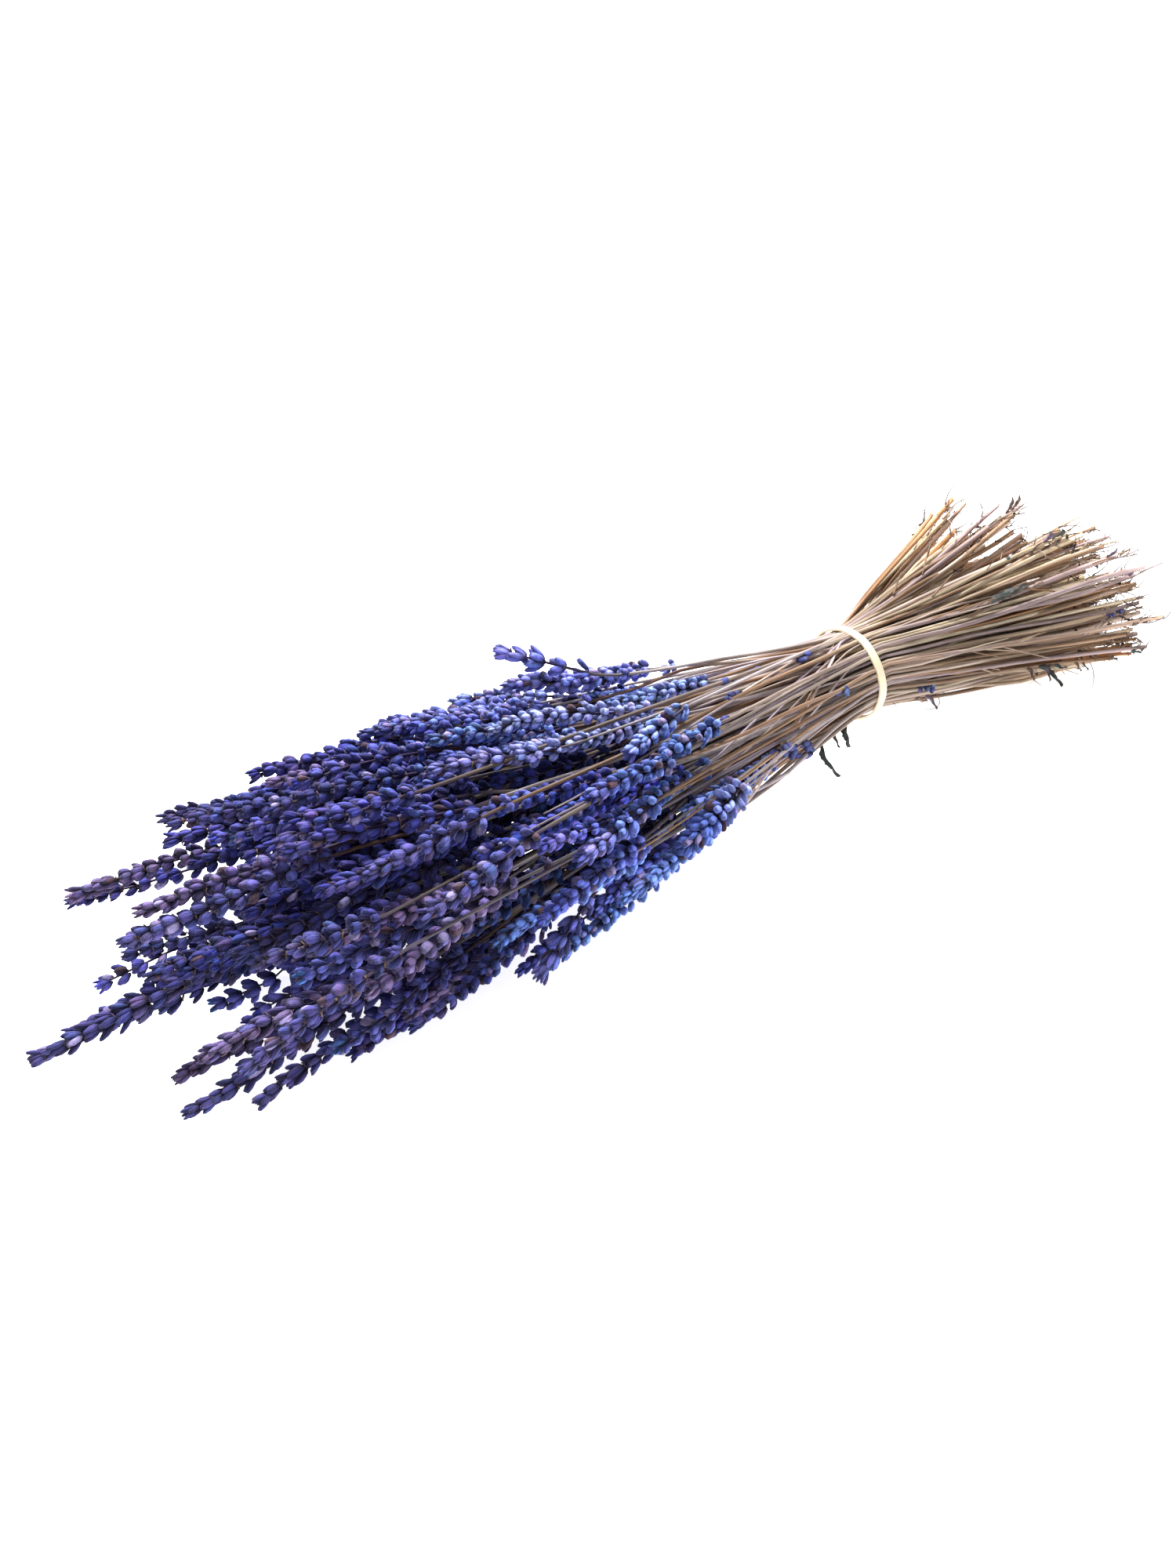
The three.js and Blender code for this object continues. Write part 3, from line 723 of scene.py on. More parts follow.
draws = Draws(4409)
fibre_tube = straight_tube(FIBRE.sides, FIBRE.rings)
fibres = Growth()
taper = 1 - FIBRE.narrows * np.arange(FIBRE.rings) / (FIBRE.rings - 1)
for s in sprigs:
    for _ in range(FIBRE.each):
        back = draws.share() ** FIBRE.towards_cut * FIBRE.back
        ends = centre_line(s, [s.cut + back, s.cut + back + FIBRE.aligned_over])
        way = unit(unit(ends[0] - ends[1]) + [draws.spread(FIBRE.stray) for _ in range(3)])
        bend = unit(np.cross(way, [draws.spread(1) for _ in range(3)]))
        root = ends[0] + [0, draws.spread(FIBRE.off_axis), draws.spread(FIBRE.off_axis)]
        add_splinter(root, way, bend, FIBRE, FIBRE_TONES, taper)
for _ in range(BROKEN.many):
    station, side = draws.between(*BROKEN.stations), draws.between(*BROKEN.sides)
    out = outward(side)
    root = on_outermost(station, out, BROKEN.off_axis)
    aslant = np.cross(out, [1, 0, 0]) * draws.spread(BROKEN.aslant)
    way = unit(unit(root - [-WAIST_FLAT, *WAIST_MIDDLE]) + aslant)
    add_splinter(root, way, out, BROKEN, FAN_TONES, 0.5 + 0.5 * taper)
for station, side, length, curl in HANGING:
    out = outward(side)
    way = unit(out * HANGING_THREAD.out + [math.copysign(HANGING_THREAD.along, station), 0, 0])
    root = on_outermost(station, out, HANGING_THREAD.off_axis)
    line = curled(root, way, unit(np.cross(way, out)), length, curl, FIBRE.rings - 1)
    points = bent_along(fibre_tube, line, HANGING_THREAD.thick * taper)
    fibres.add(fibre_tube, points, linear(HANGING_THREAD.tone))
fibres.piece("split_stem_fibres", stalk, "dry_stem")

# The flower spikes. Each is whorls of small ribbed calyx buds, furry and dyed deep violet to
# blue by their own oils, in two opposite clusters at each joint of the stalk. They have
# dried in place, plump behind and slim at the tip.
BUD_LENGTH = 5.0
TIGHT = SimpleNamespace(pitch=3.9, bud=0.86, reach=1.04, flare=0.85, four=1, slim=0.15)
CLOSED = SimpleNamespace(pitch=4.5, bud=0.96, reach=0.88, flare=1.0, four=0.7, slim=0.25)
LOOSE = SimpleNamespace(pitch=4.9, bud=1.06, reach=1.0, flare=0.8, four=0.3, slim=0.75)
DENSE = SimpleNamespace(pitch=2.6, bud=1.1, reach=1.15, flare=1.3, four=1, slim=0.1)
LARGE = SimpleNamespace(pitch=4.5, bud=1.07, reach=0.9, flare=1.0, four=0.6, slim=0.3)
HIDDEN = SimpleNamespace(pitch=6.4, bud=1.3, reach=1, flare=1.2, four=0, slim=0)
TONES = {name: linear(colour) for name, colour in (
    ("violet", "#3c3da4"), ("indigo", "#28338e"), ("mauve", "#5756a2"), ("pink", "#86709e"),
    ("slate", "#4468a8"), ("bright", "#3660c8"), ("pale", "#8690c4"), ("teal", "#4b7390"),
    ("dust_and_sheen", "#707a9b"), ("bleached", "#8880ac"), ("withered", "#5e4850"),
)}
ANY_TONE = ("violet", "indigo", "mauve", "slate", "violet", "pink", "bright", "indigo")

# The spikes of each row: the slot of their colour, their habits and their tones. The collar and
# shoulder rows take paler tones, partly their own colour and partly painted light on the top of
# the bunch.
HEADS = {
    "collar": ("bloom_indigo", (TIGHT,), ("slate", "teal", "violet", "pale", "bright")),
    "shoulder": ("bloom_indigo", (TIGHT, TIGHT, CLOSED), ("slate", "violet", "pale", "violet", "mauve")),
    "middle": ("bloom_violet", (TIGHT, CLOSED, CLOSED), ("violet", "slate", "indigo", "mauve", "violet")),
    "front": ("bloom_violet", (CLOSED, CLOSED, LOOSE), ("violet", "violet", "mauve", "pink", "indigo")),
    "tip": ("bloom_mauve", (CLOSED, LOOSE, LOOSE), ("mauve", "violet", "pink", "mauve")),
    "inner": ("bloom_violet", (CLOSED, LOOSE), ("indigo", "violet", "mauve")),
    "heart": ("bloom_violet", (CLOSED, LOOSE), ("indigo", "violet", "mauve")),
    "stray": ("bloom_mauve", (LOOSE,), ("violet", "mauve", "mauve")),
    "over": ("bloom_mauve", (LARGE,), ("mauve", "violet", "violet", "mauve")),
    "blue": ("bloom_indigo", (DENSE,), ("bright",)),
    "within": ("bloom_indigo", (HIDDEN,), ("indigo", "violet", "indigo", "slate")),
}
# Some rows turn to another tone along the bunch: which, the stations, and its share at them.
TURNS_TO = {
    "within": ("mauve", (160, 205), (0, 0.8)),
    "over": ("slate", (110, 165), (0.75, 0)),
    "blue": ("pale", (95.81, 107.44), (0.6, 0)),
}
PALE_TIPS = SimpleNamespace(rows=("tip", "front", "stray", "over"), tone="pink", share=0.6, start=0.5)
# Painted light and shade on the spikes: the factor on their tone at stations, and at places across
# the bunch seen from its near side. The part near the band and the two sides are painted paler
# and greyer, as lit from above and behind, and the tips are painted darker.
PAINTED_LIGHT_ALONG = ((50, 90, 140, 190, 240), (1.55, 1.5, 1.2, 0.66, 0.48))
PAINTED_LIGHT_ACROSS = ((-45, -18, 0, 12, 30), (1.5, 1.75, 1.0, 2.05, 1.4))
PAINTED_LIGHT_ACROSS_UNTIL = ((150, 215), (1, 0.15))
PAINTED_SHEEN_ACROSS = ((-45, -18, 0, 14, 32), (0.3, 0.32, 0.05, 0.55, 0.42))
# Painted shade on the sprigs within the thatch, less towards stations where their tips come out.
HIDDEN_SHADE = ((110, 165, 215), (0.3, 0.55, 0.95))
# Painted shade: the inner rows are darker, as they lie under the others; on the blue spike it tones down the
# painted light.
DEEP = SimpleNamespace(rows=("inner", "heart", "blue"), shade=0.75)
BUD_SHADE = SimpleNamespace(sprig=(0.62, 1.35), bud=(0.66, 1.3), tip=(0.7, 1.4), others=0.6, others_on_blue=0.3)
FATES = SimpleNamespace(bleached=0.05, withered=0.075, bleached_shade=(0.8, 1.1), withered_shade=(0.5, 0.9))

WHORLS = SimpleNamespace(first=1, closer_at_tip=0.3, fewest=3, nudge=0.6, turn=0.25, uneven=0.1, lost=0.06)
LATE_WHORL = SimpleNamespace(share=0.4, before_heel=(8, 14), cluster=0.5)
FULLNESS = ((-0.3, 0, 0.15, 0.7, 1), (0.8, 0.88, 1, 1, 0.8))
FULLNESS_UNEVEN = 0.07
FLARE = (math.radians(46), math.radians(22))
BUD_FANS = {3: (-0.72, 0.0, 0.72), 4: (-1.05, -0.36, 0.36, 1.05)}
FOUR_UNTIL = 0.85
BUD = SimpleNamespace(root=0.9, fan=0.24, lift=0.2, length=(0.84, 1.1), breadth=(0.86, 1.12), nudge=0.7,
                      roll=0.4, open_from=0.8)
TIP_BUDS = SimpleNamespace(many=4, room=0.85, flare=(0.1, 0.6), length=(0.7, 1.0), slim=0.8, root=0.3)
SPOT_REACH = 2
DROOP = 0.08


def bud(profile, sides, ribs):
    """A bud spun from its profile, from root to mouth along +X, one long, with raised ribs."""
    bm = bmesh.new()
    outline = [bm.verts.new((x, 0, r)) for x, r in profile]
    edges = [bm.edges.new(pair) for pair in zip(outline, outline[1:])]
    bmesh.ops.spin(bm, geom=outline + edges, cent=(0, 0, 0), axis=(1, 0, 0), angle=FULL_TURN,
                   steps=sides, use_merge=True)
    bmesh.ops.remove_doubles(bm, verts=bm.verts, dist=1e-4)
    for v in bm.verts:
        rib = 1 + (ribs if round(around_x(v.co) * sides) % 2 else -ribs)
        v.co.y *= rib
        v.co.z *= rib
        v.co.z -= DROOP * v.co.x ** 2
    return Shape(bm, around_x, lambda co: co.x)


PLUMP = bud(((0, 0), (0.07, 0.15), (0.3, 0.245), (0.62, 0.275), (0.88, 0.19), (1, 0)), 8, 0.05)
SLIM = bud(((0, 0), (0.08, 0.11), (0.34, 0.175), (0.68, 0.18), (0.98, 0.11), (1.1, 0)), 8, 0.07)
OPEN = bud(((0, 0), (0.08, 0.14), (0.36, 0.22), (0.72, 0.23), (1.0, 0.17), (0.84, 0)), 8, 0.07)
SMALL = bud(((0, 0), (0.12, 0.17), (0.6, 0.26), (0.9, 0.15), (1, 0)), 5, 0.0)


# Dried calyx: soft short fur over ribbed skin. Ten fine ribs run from root to mouth, a little
# paler along their crests, and the fur catches the light at the edges. Painted light and shade:
# the side of each bud that faces out is painted lighter and the other side darker, and its root is
# painted dark as shade between the buds. Patches three millimetres wide have turned pinkish.
def dried_calyx():
    material, add = new_material("dried_calyx")
    around, along, _ = add("SeparateXYZ", {"Vector": add("UVMap", uv_map="skin")}).node.outputs
    turns = add("Math", {0: around, 1: FULL_TURN * 10}, operation="MULTIPLY")
    wave = add("Math", {0: turns}, operation="SINE")
    ribs = add("MapRange", {"Value": wave, "From Min": -1, "From Max": 1})
    where = add("TexCoord", output="Object")
    fur = add("TexNoise", {"Vector": where, "Scale": 1 / (0.5 * MM), "Detail": 3, "Roughness": 0.65})
    patches = add("TexNoise", {"Vector": where, "Scale": 1 / (3 * MM), "Detail": 2})
    tint = add("Attribute", output="Color", attribute_name="tint")
    # Painted shade: each bud darker towards its root, where the buds shade each other.
    depth = add("MapRange", {"Value": along, "From Min": 0.0, "From Max": 0.6, "To Min": 0.08, "To Max": 1.12},
                interpolation_type="SMOOTHSTEP")
    # Painted light: each bud lighter on the side that faces out of the spike, darker on the other.
    turn = add("Math", {0: around, 1: FULL_TURN}, operation="MULTIPLY")
    facing = add("Math", {0: turn}, operation="SINE")
    painted_side_light = add("MapRange", {"Value": facing, "From Min": -0.3, "From Max": 1, "To Min": 0.42, "To Max": 1.4})
    painted_light_and_shade = add("Math", {0: depth, 1: painted_side_light}, operation="MULTIPLY")
    shaded = add("VectorMath", {0: tint, "Scale": painted_light_and_shade}, operation="SCALE")
    flush = add("MapRange", {"Value": patches, "From Min": 0.5, "From Max": 0.7, "To Max": 0.28})
    flushed = add("MixRGB", {"Fac": flush, "Color1": shaded, "Color2": rgba("#f2b0c4", 2.2)},
                  blend_type="MULTIPLY")
    mottle = add("MapRange", {"Value": fur, "From Min": 0.3, "From Max": 0.7, "To Min": 0.7, "To Max": 1.25})
    mottled = add("VectorMath", {0: flushed, "Scale": mottle}, operation="SCALE")
    crest = add("MapRange", {"Value": ribs, "From Min": 0.55, "From Max": 1.0, "To Max": 0.1})
    colour = add("MixRGB", {"Fac": crest, "Color1": mottled, "Color2": rgba("#8483bc")})
    height = add("Math", {0: ribs, 1: 0.45, 2: fur}, operation="MULTIPLY_ADD")
    relief = add("Bump", {"Height": height, "Strength": 0.7, "Distance": 0.22 * MM})
    add("OutputMaterial", {"Surface": add("BsdfPrincipled", {
        "Base Color": colour, "Normal": relief, "Roughness": 0.8, "Specular IOR Level": 0.15,
        "Sheen Weight": 0.25, "Sheen Roughness": 0.4, "Sheen Tint": rgba("#b3b4e0")})})
    return material


def placed(shape, root, ahead, out, length, breadth, roll):
    """A bud's points, rooted at a point, lying along ahead with its curved back towards out."""
    side = unit(np.cross(ahead, out))
    x, y, z = shape.points.T
    return (root + np.outer(x * length, ahead) + np.outer(turned(y, -z, roll) * breadth, side)
            + np.outer(turned(z, y, roll) * breadth, np.cross(side, ahead)))


def spot_on(s, station):
    """A place on a drawn stem, the direction that it grows in there, and two across that."""
    line = stem_at(s, [station - SPOT_REACH, station, station + SPOT_REACH])
    ahead = unit(line[2] - line[0])
    return line[1], ahead, *across_it(ahead)


def painted_light_at(s, place):
    """Painted light at a place: the factor on a sprig's tone there, above one for painted light and below one for
    painted shade, and how far it is painted greyer where lit.
    """
    if s.row == "within":
        return np.interp(place[0], *HIDDEN_SHADE), 0
    aside = seen_from_near_side(place[1:])[1]
    until = np.interp(place[0], *PAINTED_LIGHT_ACROSS_UNTIL)
    deep = DEEP.shade if s.row in DEEP.rows else 1
    paler = 1 + (np.interp(aside, *PAINTED_LIGHT_ACROSS) - 1) * until
    return np.interp(place[0], *PAINTED_LIGHT_ALONG) * paler * deep, np.interp(aside, *PAINTED_SHEEN_ACROSS) * until


def bud_tint(s, own, station, along, shade, greying, draws):
    """The tint of one bud: its sprig's tone, mixed with others, scaled and greyed by the painted light and shade of
    its place, and changed by its fate.
    """
    other = BUD_SHADE.others_on_blue if s.row == "blue" else BUD_SHADE.others
    tint = mix(own, TONES[draws.pick(ANY_TONE)], draws.share() * other)
    fate = draws.share()
    if s.row in PALE_TIPS.rows:
        tint = mix(tint, TONES[PALE_TIPS.tone], PALE_TIPS.share * max(0, along - PALE_TIPS.start))
    if s.row in TURNS_TO:
        tone, stations, shares = TURNS_TO[s.row]
        tint = mix(tint, TONES[tone], np.interp(station, stations, shares))
    # Painted light and shade: greyer where lit, and scaled by the painted light and shade of its place.
    tint = mix(tint, TONES["dust_and_sheen"], greying) * draws.between(*BUD_SHADE.bud) * shade
    if fate < FATES.bleached:
        return TONES["bleached"] * draws.between(*FATES.bleached_shade)
    if fate < FATES.withered:
        return TONES["withered"] * draws.between(*FATES.withered_shade)
    return tint


def grow_spike(s, growth, bract_places, draws):
    """One flower spike: its whorls from heel to tip, and the buds that close its tip."""
    _, habits, tones = HEADS[s.row]
    own = TONES[draws.pick(tones)] * draws.between(*BUD_SHADE.sprig)
    within = s.row == "within"
    habit = draws.pick(habits)
    fullness = s.radius / SPIKE_RADIUS * habit.bud * (1 + draws.spread(FULLNESS_UNEVEN))
    last = s.base + s.length - TIP_BUDS.room * BUD_LENGTH
    room = last - s.base - WHORLS.first
    share = np.linspace(0, 1, max(WHORLS.fewest, round(room / habit.pitch) + 1))
    whorls = list(s.base + WHORLS.first + room * share * (1 + WHORLS.closer_at_tip * (1 - share)))
    if draws.share() < LATE_WHORL.share and not within:
        whorls.insert(0, s.base - draws.between(*LATE_WHORL.before_heel))
    for number, station in enumerate(whorls):
        along = (station - s.base) / s.length
        flare = habit.flare * np.interp(along, (0, 1), FLARE)
        size = fullness * np.interp(along, *FULLNESS) * (1 + draws.spread(WHORLS.uneven))
        nudge = draws.spread(WHORLS.nudge) * (not within)
        spot, ahead, side, up = spot_on(s, station)
        spot = spot + (nudge, 0, 0)
        painted_light_here = painted_light_at(s, spot)
        turn = s.phase + number * math.pi / 2 + draws.spread(WHORLS.turn)
        for cluster in (0, math.pi):
            many = 4 if draws.share() < habit.four and along < FOUR_UNTIL else 3
            if along < -BEFORE_HEEL:
                many = 3
                if draws.share() >= LATE_WHORL.cluster:
                    continue
            if not within:
                bract_places.append((spot, ahead, turned(side, up, turn + cluster), size))
            for fan in BUD_FANS[many]:
                out = turned(side, up, turn + cluster + fan + draws.spread(BUD.fan))
                lift = flare + draws.spread(BUD.lift)
                if draws.share() < WHORLS.lost and not within:
                    continue
                length = BUD_LENGTH * size * habit.reach * draws.between(*BUD.length)
                breadth = BUD_LENGTH * size * draws.between(*BUD.breadth)
                kind = draws.share()
                shape = SLIM if kind < habit.slim + max(0, along - 0.5) else OPEN if kind > BUD.open_from else PLUMP
                shape = SMALL if within else shape
                root = spot + out * BUD.root * min(1, 1.5 - along) + ahead * draws.spread(BUD.nudge)
                tint = bud_tint(s, own, station, along, *painted_light_here, draws)
                way = turned(ahead, out, lift)
                growth.add(shape, placed(shape, root, way, out, length, breadth, draws.spread(BUD.roll)), tint)
    spot, ahead, side, up = spot_on(s, last + 1)
    # Painted light and shade, and the greying where lit, as on the whorls.
    shade, greying = painted_light_at(s, spot)
    for number in range(TIP_BUDS.many):
        out = turned(side, up, s.phase + number * FULL_TURN / TIP_BUDS.many)
        way = turned(ahead, out, draws.between(*TIP_BUDS.flare))
        length = BUD_LENGTH * fullness * draws.between(*TIP_BUDS.length)
        root = spot + out * TIP_BUDS.root + ahead * (TIP_BUDS.room * BUD_LENGTH - length)
        tint = mix(own, TONES["dust_and_sheen"], greying) * draws.between(*BUD_SHADE.tip) * shade
        growth.add(SLIM, placed(SLIM, root, way, out, length, TIP_BUDS.slim * length, 0), tint)


draws = Draws(5309)
bunches = {}
bract_places = []
for s in sprigs:
    if s.row in HEADS:
        grow_spike(s, bunches.setdefault(s.row, Growth()), bract_places, draws)

# Single buds, and clusters of four, dropped off and caught among the stems. Each: the station,
# and how far across the bunch it lies, seen from the near side.
CAUGHT = (
    (29, 11), (53, 15), (24, -6), (67, 17), (72, 9), (84, 4), (-26, -18), (-29, -18), (60, -16),
    (56, -18), (51, -18), (46, -18), (63, -13), (-118, -22),
)
CAUGHT_BUD = SimpleNamespace(single=0.3, cluster=4, aslant=0.8, above=0.8, along=3.5, off=0.8, length=(0.6, 0.9),
                             tones=("violet", "slate", "indigo", "mauve"), shade=(0.5, 1.0), greying=0.6)
NEARNESS = 3
for station, across in CAUGHT:
    places = np.array([centre_line(s, station) for s in sprigs if s.row not in ("within", "stub")])
    high, aside = seen_from_near_side(places[:, 1:])
    spot = places[np.argmax(high - NEARNESS * np.abs(aside - across))]
    for _ in range(1 if draws.share() < CAUGHT_BUD.single else CAUGHT_BUD.cluster):
        way = unit(np.array([1, draws.spread(CAUGHT_BUD.aslant), draws.spread(CAUGHT_BUD.aslant)]))
        out = np.array([0, *TOWARD])
        strays = [draws.spread(CAUGHT_BUD.along), draws.spread(CAUGHT_BUD.off), draws.spread(CAUGHT_BUD.off)]
        place = spot + out * CAUGHT_BUD.above + strays
        length = BUD_LENGTH * draws.between(*CAUGHT_BUD.length)
        tint = TONES[draws.pick(CAUGHT_BUD.tones)] * draws.between(*CAUGHT_BUD.shade)
        tint = mix(tint, TONES["dust_and_sheen"] * CAUGHT_BUD.greying, 0.5)
        bunches["over"].add(PLUMP, placed(PLUMP, place, way, out, length, length, 0), tint)

calyx = dried_calyx()
for row, growth in bunches.items():
    nodes = sorted({s.node for s in outer_sprigs if s.row == row})
    growth.piece(f"{row}_flower_spikes", calyx, HEADS[row][0], nodes)

# The rubber band. It is one flat cream band cut from an extruded tube of natural rubber, and it
# grips the stems by its own stretch, so it lies tight and a little uneven on them.
BAND = SimpleNamespace(inner=17.2, thick=1.1, width=3.5, steps=96, corner=0.32, uneven=0.14, lean=0.05, wander=0.25)


# Natural rubber, moulded and dusted with talc: smooth and half dull, with a cloudy bloom in
# patches six millimetres wide and a fine grain.
def natural_rubber():
    material, add = new_material("natural_rubber")
    where = add("TexCoord", output="Object")
    bloom = add("TexNoise", {"Vector": where, "Scale": 1 / (6 * MM), "Detail": 4})
    colour = add("MixRGB", {"Fac": bloom, "Color1": rgba("#ecd9b4"), "Color2": rgba("#f8ecd2")})
    grain = add("TexNoise", {"Vector": where, "Scale": 1 / (0.6 * MM), "Detail": 2})
    relief = add("Bump", {"Height": grain, "Strength": 0.25, "Distance": 0.1 * MM})
    add("OutputMaterial", {"Surface": add("BsdfPrincipled", {
        "Base Color": colour, "Normal": relief, "Roughness": 0.48,
        "Subsurface Weight": 0.15, "Subsurface Scale": 2 * MM})})
    return material


def stretched_band():
    bm = bmesh.new()
    half, outer = BAND.width / 2, BAND.inner + BAND.thick
    section = ((-half, BAND.inner), (half, BAND.inner), (half, outer), (-half, outer))
    bm.faces.new([bm.verts.new((x, 0, r)) for x, r in section])
    bmesh.ops.bevel(bm, geom=bm.verts[:], affect="VERTICES", offset=BAND.corner, segments=3, profile=0.5,
                    material=-1)
    geom = bm.verts[:] + bm.edges[:]
    bmesh.ops.delete(bm, geom=bm.faces[:], context="FACES_ONLY")
    bmesh.ops.spin(bm, geom=geom, cent=(0, 0, 0), axis=(1, 0, 0), angle=FULL_TURN,
                   steps=BAND.steps, use_merge=True)
    bmesh.ops.remove_doubles(bm, verts=bm.verts, dist=1e-3)
    bmesh.ops.recalc_face_normals(bm, faces=bm.faces)
    for v in bm.verts:
        angle = math.atan2(v.co.z, v.co.y)
        swell = BAND.uneven * (math.sin(7 * angle) + math.sin(11 * angle + 1)) / 2
        v.co.y += swell * math.cos(angle)
        v.co.z += swell * math.sin(angle)
        v.co.x += BAND.lean * v.co.z + BAND.wander * math.sin(3 * angle)
        v.co.z += AXIS_HEIGHT
        v.co = Vector(in_metres(v.co[:]))
    mesh = bpy.data.meshes.new("stretched_rubber_band")
    bm.to_mesh(mesh)
    bm.free()
    mesh.shade_smooth()
    return mesh


finished("stretched_rubber_band", stretched_band(), natural_rubber(), "band_rubber", ["rubber_band"])

# The leaves. A few narrow grey-green leaves are still on the outer stems, each with its edges
# rolled under, and they have curled and darkened as they dried. Each: station, angle of its
# side, length, breadth, slant and curl.
LEAVES = (
    (33, -0.75, 13, 2.6, 1.2, 0.9), (10, -0.9, 9, 3.6, 1.0, 0.6),
    (-82, -0.5, 13, 2.6, 0.7, 1.2), (-58, 0.9, 20, 4, 0.35, -0.4),
)
LEAF = SimpleNamespace(thick=0.45, roll=1.1, rolled_from=2.6, fullest=0.8, off_axis=0.57, steps=(18, 6),
                       tone="#3f4544")


# Dried leaf: dull and leathery, with darker and paler patches two and a half millimetres wide
# that also raise its skin. The tint is each leaf's own.
def dried_leaf():
    material, add = new_material("dried_leaf")
    where = add("TexCoord", output="Object")
    patches = add("TexNoise", {"Vector": where, "Scale": 1 / (2.5 * MM), "Detail": 5})
    tint = add("Attribute", output="Color", attribute_name="tint")
    share = add("MapRange", {"Value": patches, "From Min": 0.35, "From Max": 0.65, "To Min": 0.55, "To Max": 1.5})
    colour = add("VectorMath", {0: tint, "Scale": share}, operation="SCALE")
    relief = add("Bump", {"Height": patches, "Strength": 0.5, "Distance": 0.2 * MM})
    add("OutputMaterial", {"Surface": add("BsdfPrincipled", {
        "Base Color": colour, "Normal": relief, "Roughness": 0.75, "Specular IOR Level": 0.25})})
    return material


def blade(length, breadth, roll, along, across):
    """A flat narrow leaf along +X, in steps one apart, with its breadth in Y and a rolled edge."""
    bm = bmesh.new()
    bmesh.ops.create_grid(bm, x_segments=along, y_segments=across, size=0.5)
    for v in bm.verts:
        share = v.co.x + 0.5
        v.co.x = share * along
        ragged = 1 + 0.18 * math.sin(17 * share + 9 * v.co.y) + 0.12 * math.sin(41 * share)
        pointed = 0.3 + 0.7 * math.sin(math.pi * min(1, share * 0.96 + 0.04)) ** 0.7
        v.co.y *= LEAF.fullest * breadth * ragged * pointed
        v.co.y += 0.3 * math.sin(7 * share)
        v.co.z = -roll * (2 * v.co.y / breadth) ** 2 + 0.25 * math.sin(13 * share)
    bmesh.ops.solidify(bm, geom=bm.faces[:], thickness=LEAF.thick)
    return Shape(bm, lambda co: 0.5 + co.y / breadth, lambda co: co.x / along)


def grown_leaf(station, side, length, breadth, slant, curl, steps, tint, growth):
    """A leaf on the outermost stem at a place, slanting away from it and curling."""
    out = outward(side)
    along = np.array([math.copysign(1, station), 0, 0])
    shape = blade(length, breadth, LEAF.roll * min(1, breadth / LEAF.rolled_from), *steps)
    root = on_outermost(station, out, LEAF.off_axis)
    steps = steps[0]
    angles = (slant + curl * np.arange(steps + 1) / steps)[:, None]
    faces = np.cos(angles) * out - np.sin(angles) * along
    line = curled(root, turned(along, out, slant), turned(out, -along, slant), length, curl, steps)
    place = np.clip(shape.points[:, 0], 0, steps)
    m = np.minimum(place.astype(int), steps - 1)
    middle = mix(line[m], line[m + 1], (place - m)[:, None])
    points = middle + np.outer(shape.points[:, 1], np.cross(out, along)) + faces[m] * shape.points[:, 2:3]
    growth.add(shape, points, tint)


leaf_skin = dried_leaf()
for number, shape in enumerate(LEAVES, 1):
    leaf = Growth()
    grown_leaf(*shape, LEAF.steps, linear(LEAF.tone), leaf)
    leaf.piece(f"dried_leaf_{number}", leaf_skin, "dry_leaf", [f"leaf_{number}"])

# The withered leaflets. They are small leaves that shrivelled on the lower stems, and most of
# them hang about the cut ends. Each is still on its stem, and is described as the leaves are.
LEAFLETS = (
    (-66, 0.95, 8, 2.6, 0.5, 1.5), (-72, 0.85, 7, 2, 0.9, 2.0), (-76, 1.0, 10, 2.4, 0.4, -1.2),
    (-79, 0.8, 6, 1.8, 1, 1.5), (-70, 0.7, 6, 2, 0.7, -1.5), (-84, -0.45, 8, 1.6, 1.2, 1.4),
    (-90, -0.5, 7, 1.5, 1.1, -1), (-76, -0.5, 6, 1.6, 1.3, 1), (-30, -0.7, 7, 1.8, 0.8, 1),
    (-24, -0.7, 6, 1.6, 0.9, -0.8), (16, -0.8, 7, 1.8, 0.8, 1),
)
LEAFLET = SimpleNamespace(steps=(8, 2), shade=(0.8, 1.3))
LEAFLET_TONES = ("#4c4744", "#5e5048", "#3d4a4c", "#66596a", "#7b6a5e", "#8d7a70")
AT_THE_CUT = SimpleNamespace(many=70, nearest=-84, over=40, sides=(-0.9, 2.6), length=(3, 8), breadth=(0.9, 2.2),
                             slant=1.1, curl=2.2)
draws = Draws(7703)
leaflets = Growth()
for shape in LEAFLETS:
    grown_leaf(*shape, LEAFLET.steps, linear(draws.pick(LEAFLET_TONES)), leaflets)
for _ in range(AT_THE_CUT.many):
    station = AT_THE_CUT.nearest - AT_THE_CUT.over * math.sqrt(draws.share())
    shape = (station, draws.between(*AT_THE_CUT.sides), draws.between(*AT_THE_CUT.length),
             draws.between(*AT_THE_CUT.breadth), draws.spread(AT_THE_CUT.slant), draws.spread(AT_THE_CUT.curl))
    tint = linear(draws.pick(LEAFLET_TONES)) * draws.between(*LEAFLET.shade)
    grown_leaf(*shape, LEAFLET.steps, tint, leaflets)
leaflets.piece("withered_leaflets", leaf_skin, "dry_leaf")

# The papery bracts. A small brown scale sits under each cluster of buds, grown with it, and
# shows between the whorls where the spike has opened in drying.
BRACT = SimpleNamespace(length=2.6, breadth=2.2, thick=0.08, cupped=0.25, flare=math.radians(58), behind=0.6,
                        uneven=(0.8, 1.2), shade=(0.6, 1.3))
BRACT_TONES = ("#3d3350", "#4a3a4c", "#6c564c", "#57455a")


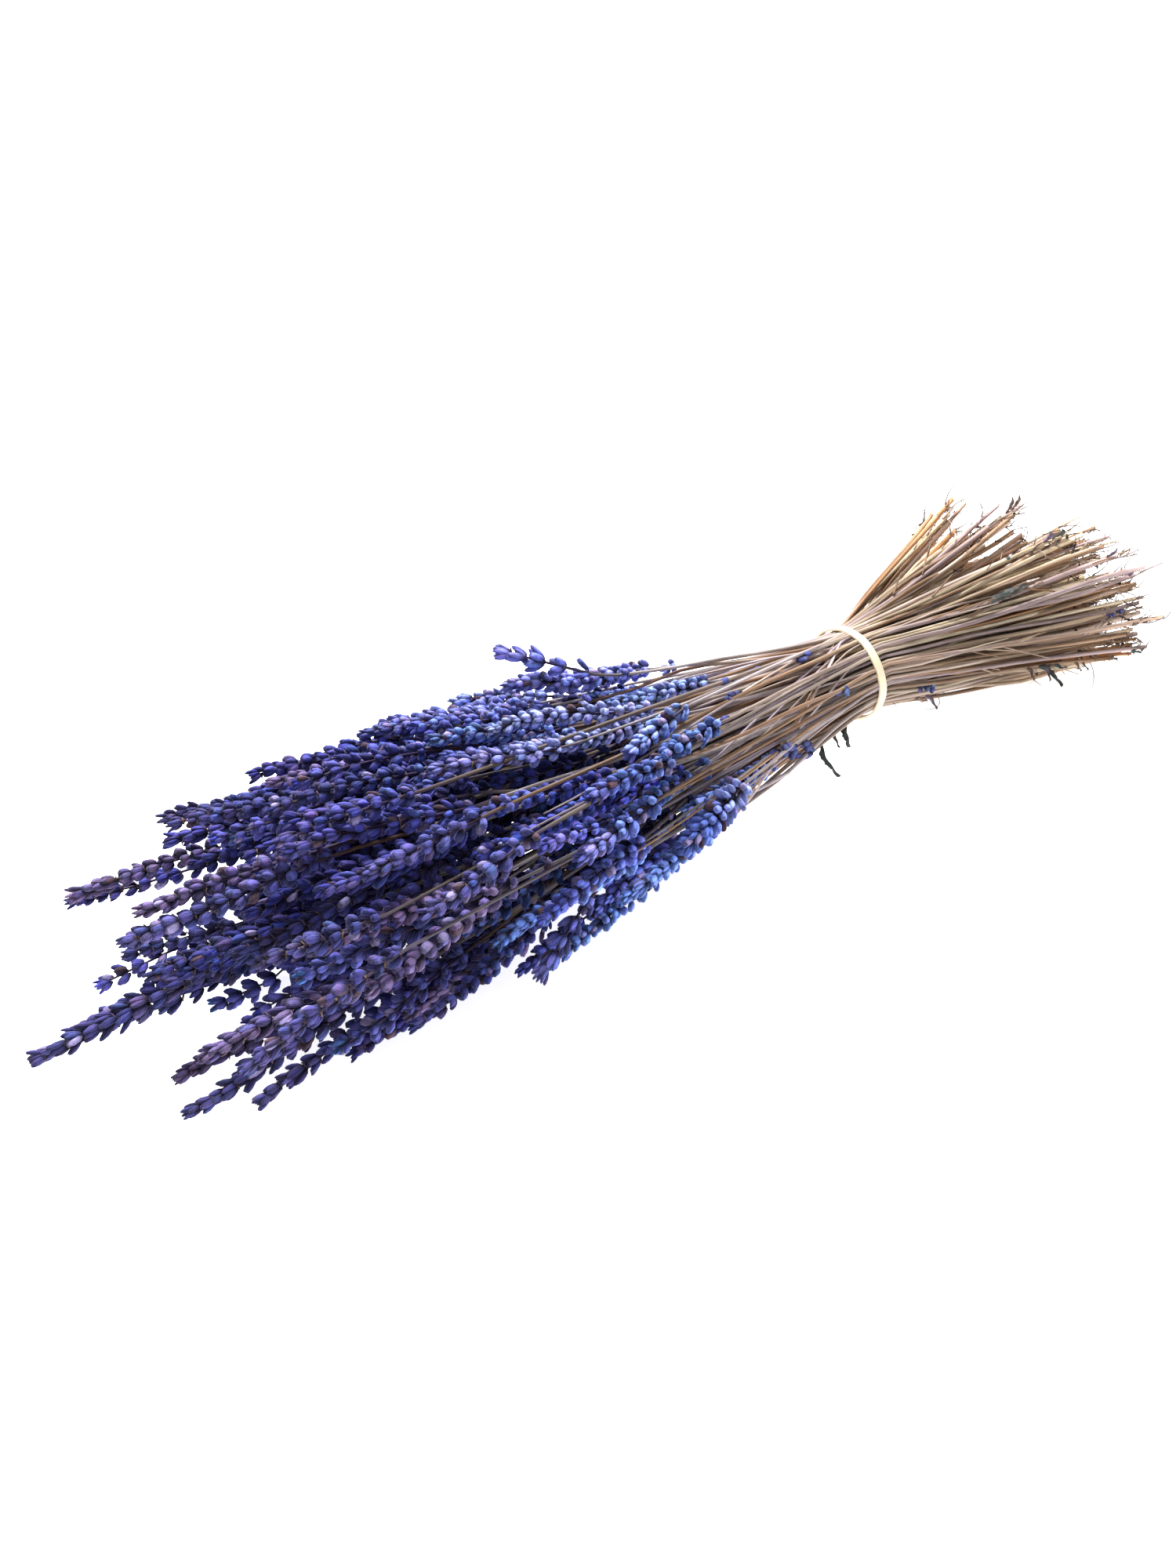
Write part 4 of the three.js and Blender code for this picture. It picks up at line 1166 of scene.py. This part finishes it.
def bract_shape():
    bm = bmesh.new()
    bmesh.ops.create_circle(bm, cap_ends=True, segments=4, radius=0.5)
    for v in bm.verts:
        v.co.x += 0.5
        v.co.z = BRACT.cupped * abs(v.co.y)
    bmesh.ops.triangulate(bm, faces=bm.faces)
    bmesh.ops.solidify(bm, geom=bm.faces[:], thickness=BRACT.thick)
    return Shape(bm, lambda co: co.y, lambda co: co.x)


scale = bract_shape()
bracts = Growth()
draws = Draws(1213)
for root, ahead, out, size in bract_places:
    side = np.cross(ahead, out)
    way = turned(ahead, out, BRACT.flare)
    length = BRACT.length * size * draws.between(*BRACT.uneven)
    breadth = BRACT.breadth * size * draws.between(*BRACT.uneven)
    x, y, z = scale.points.T
    points = (root - ahead * BRACT.behind + np.outer(x * length, way) + np.outer(y * breadth, side)
              + np.outer(z * length, np.cross(way, side)))
    bracts.add(scale, points, linear(draws.pick(BRACT_TONES)) * draws.between(*BRACT.shade))
bracts.piece("papery_bracts", leaf_skin, "dry_stem")

# The table and the light: a plain pale surface under soft white studio light from all round,
# seen as a person standing at the bunch's near side sees it.
TABLE_HALF = 12
CAMERA = SimpleNamespace(azimuth=142, elevation=35, place=(0.2650, 0.2912, 0.2974), lens=31.5, sensor=36)
STUDIO = 0.32
# Each light: name, place, size across and power in watts.
LIGHTS = (
    ("light_above", (-0.05, -0.75, 1.3), 0.7, 64),
    ("light_near", (0.9, 0.6, 1.1), 0.8, 5),
)


def in_scene(name, data):
    thing = bpy.data.objects.new(name, data)
    bpy.context.scene.collection.objects.link(thing)
    return thing


# Matt white board, which glows a little, as a lit studio table does.
def matt_white_table():
    material, add = new_material("matt_white_table")
    add("OutputMaterial", {"Surface": add("BsdfPrincipled", {
        "Base Color": rgba("#f7f7f7"), "Roughness": 0.9,
        "Emission Color": (1, 1, 1, 1), "Emission Strength": 0.85})})
    return material


bm = bmesh.new()
bmesh.ops.create_grid(bm, x_segments=1, y_segments=1, size=TABLE_HALF)
table_top = bpy.data.meshes.new("pale_table")
bm.to_mesh(table_top)
bm.free()
table_top.materials.append(matt_white_table())
in_scene("pale_table", table_top)

world = bpy.data.worlds.new("white_studio")
bpy.context.scene.world = world
world.use_nodes = True
world.node_tree.nodes["Background"].inputs["Color"].default_value = (1, 1, 1, 1)
world.node_tree.nodes["Background"].inputs["Strength"].default_value = STUDIO

for name, place, size, watts in LIGHTS:
    light = bpy.data.lights.new(name, "AREA")
    light.shape = "DISK"
    light.size = size
    light.energy = watts
    lamp = in_scene(name, light)
    lamp.location = place
    lamp.rotation_euler = (-Vector(place)).to_track_quat("-Z", "Y").to_euler()
bpy.context.scene.view_settings.view_transform = "Standard"

azimuth, elevation = math.radians(CAMERA.azimuth), math.radians(CAMERA.elevation)
back = Vector((
    math.sin(azimuth) * math.cos(elevation),
    -math.cos(azimuth) * math.cos(elevation),
    math.sin(elevation),
))
lens = bpy.data.cameras.new("camera")
lens.lens = CAMERA.lens
lens.sensor_width = CAMERA.sensor
lens.sensor_fit = "AUTO"
camera = in_scene("camera", lens)
camera.location = CAMERA.place
camera.rotation_euler = back.to_track_quat("Z", "Y").to_euler()
bpy.context.scene.camera = camera
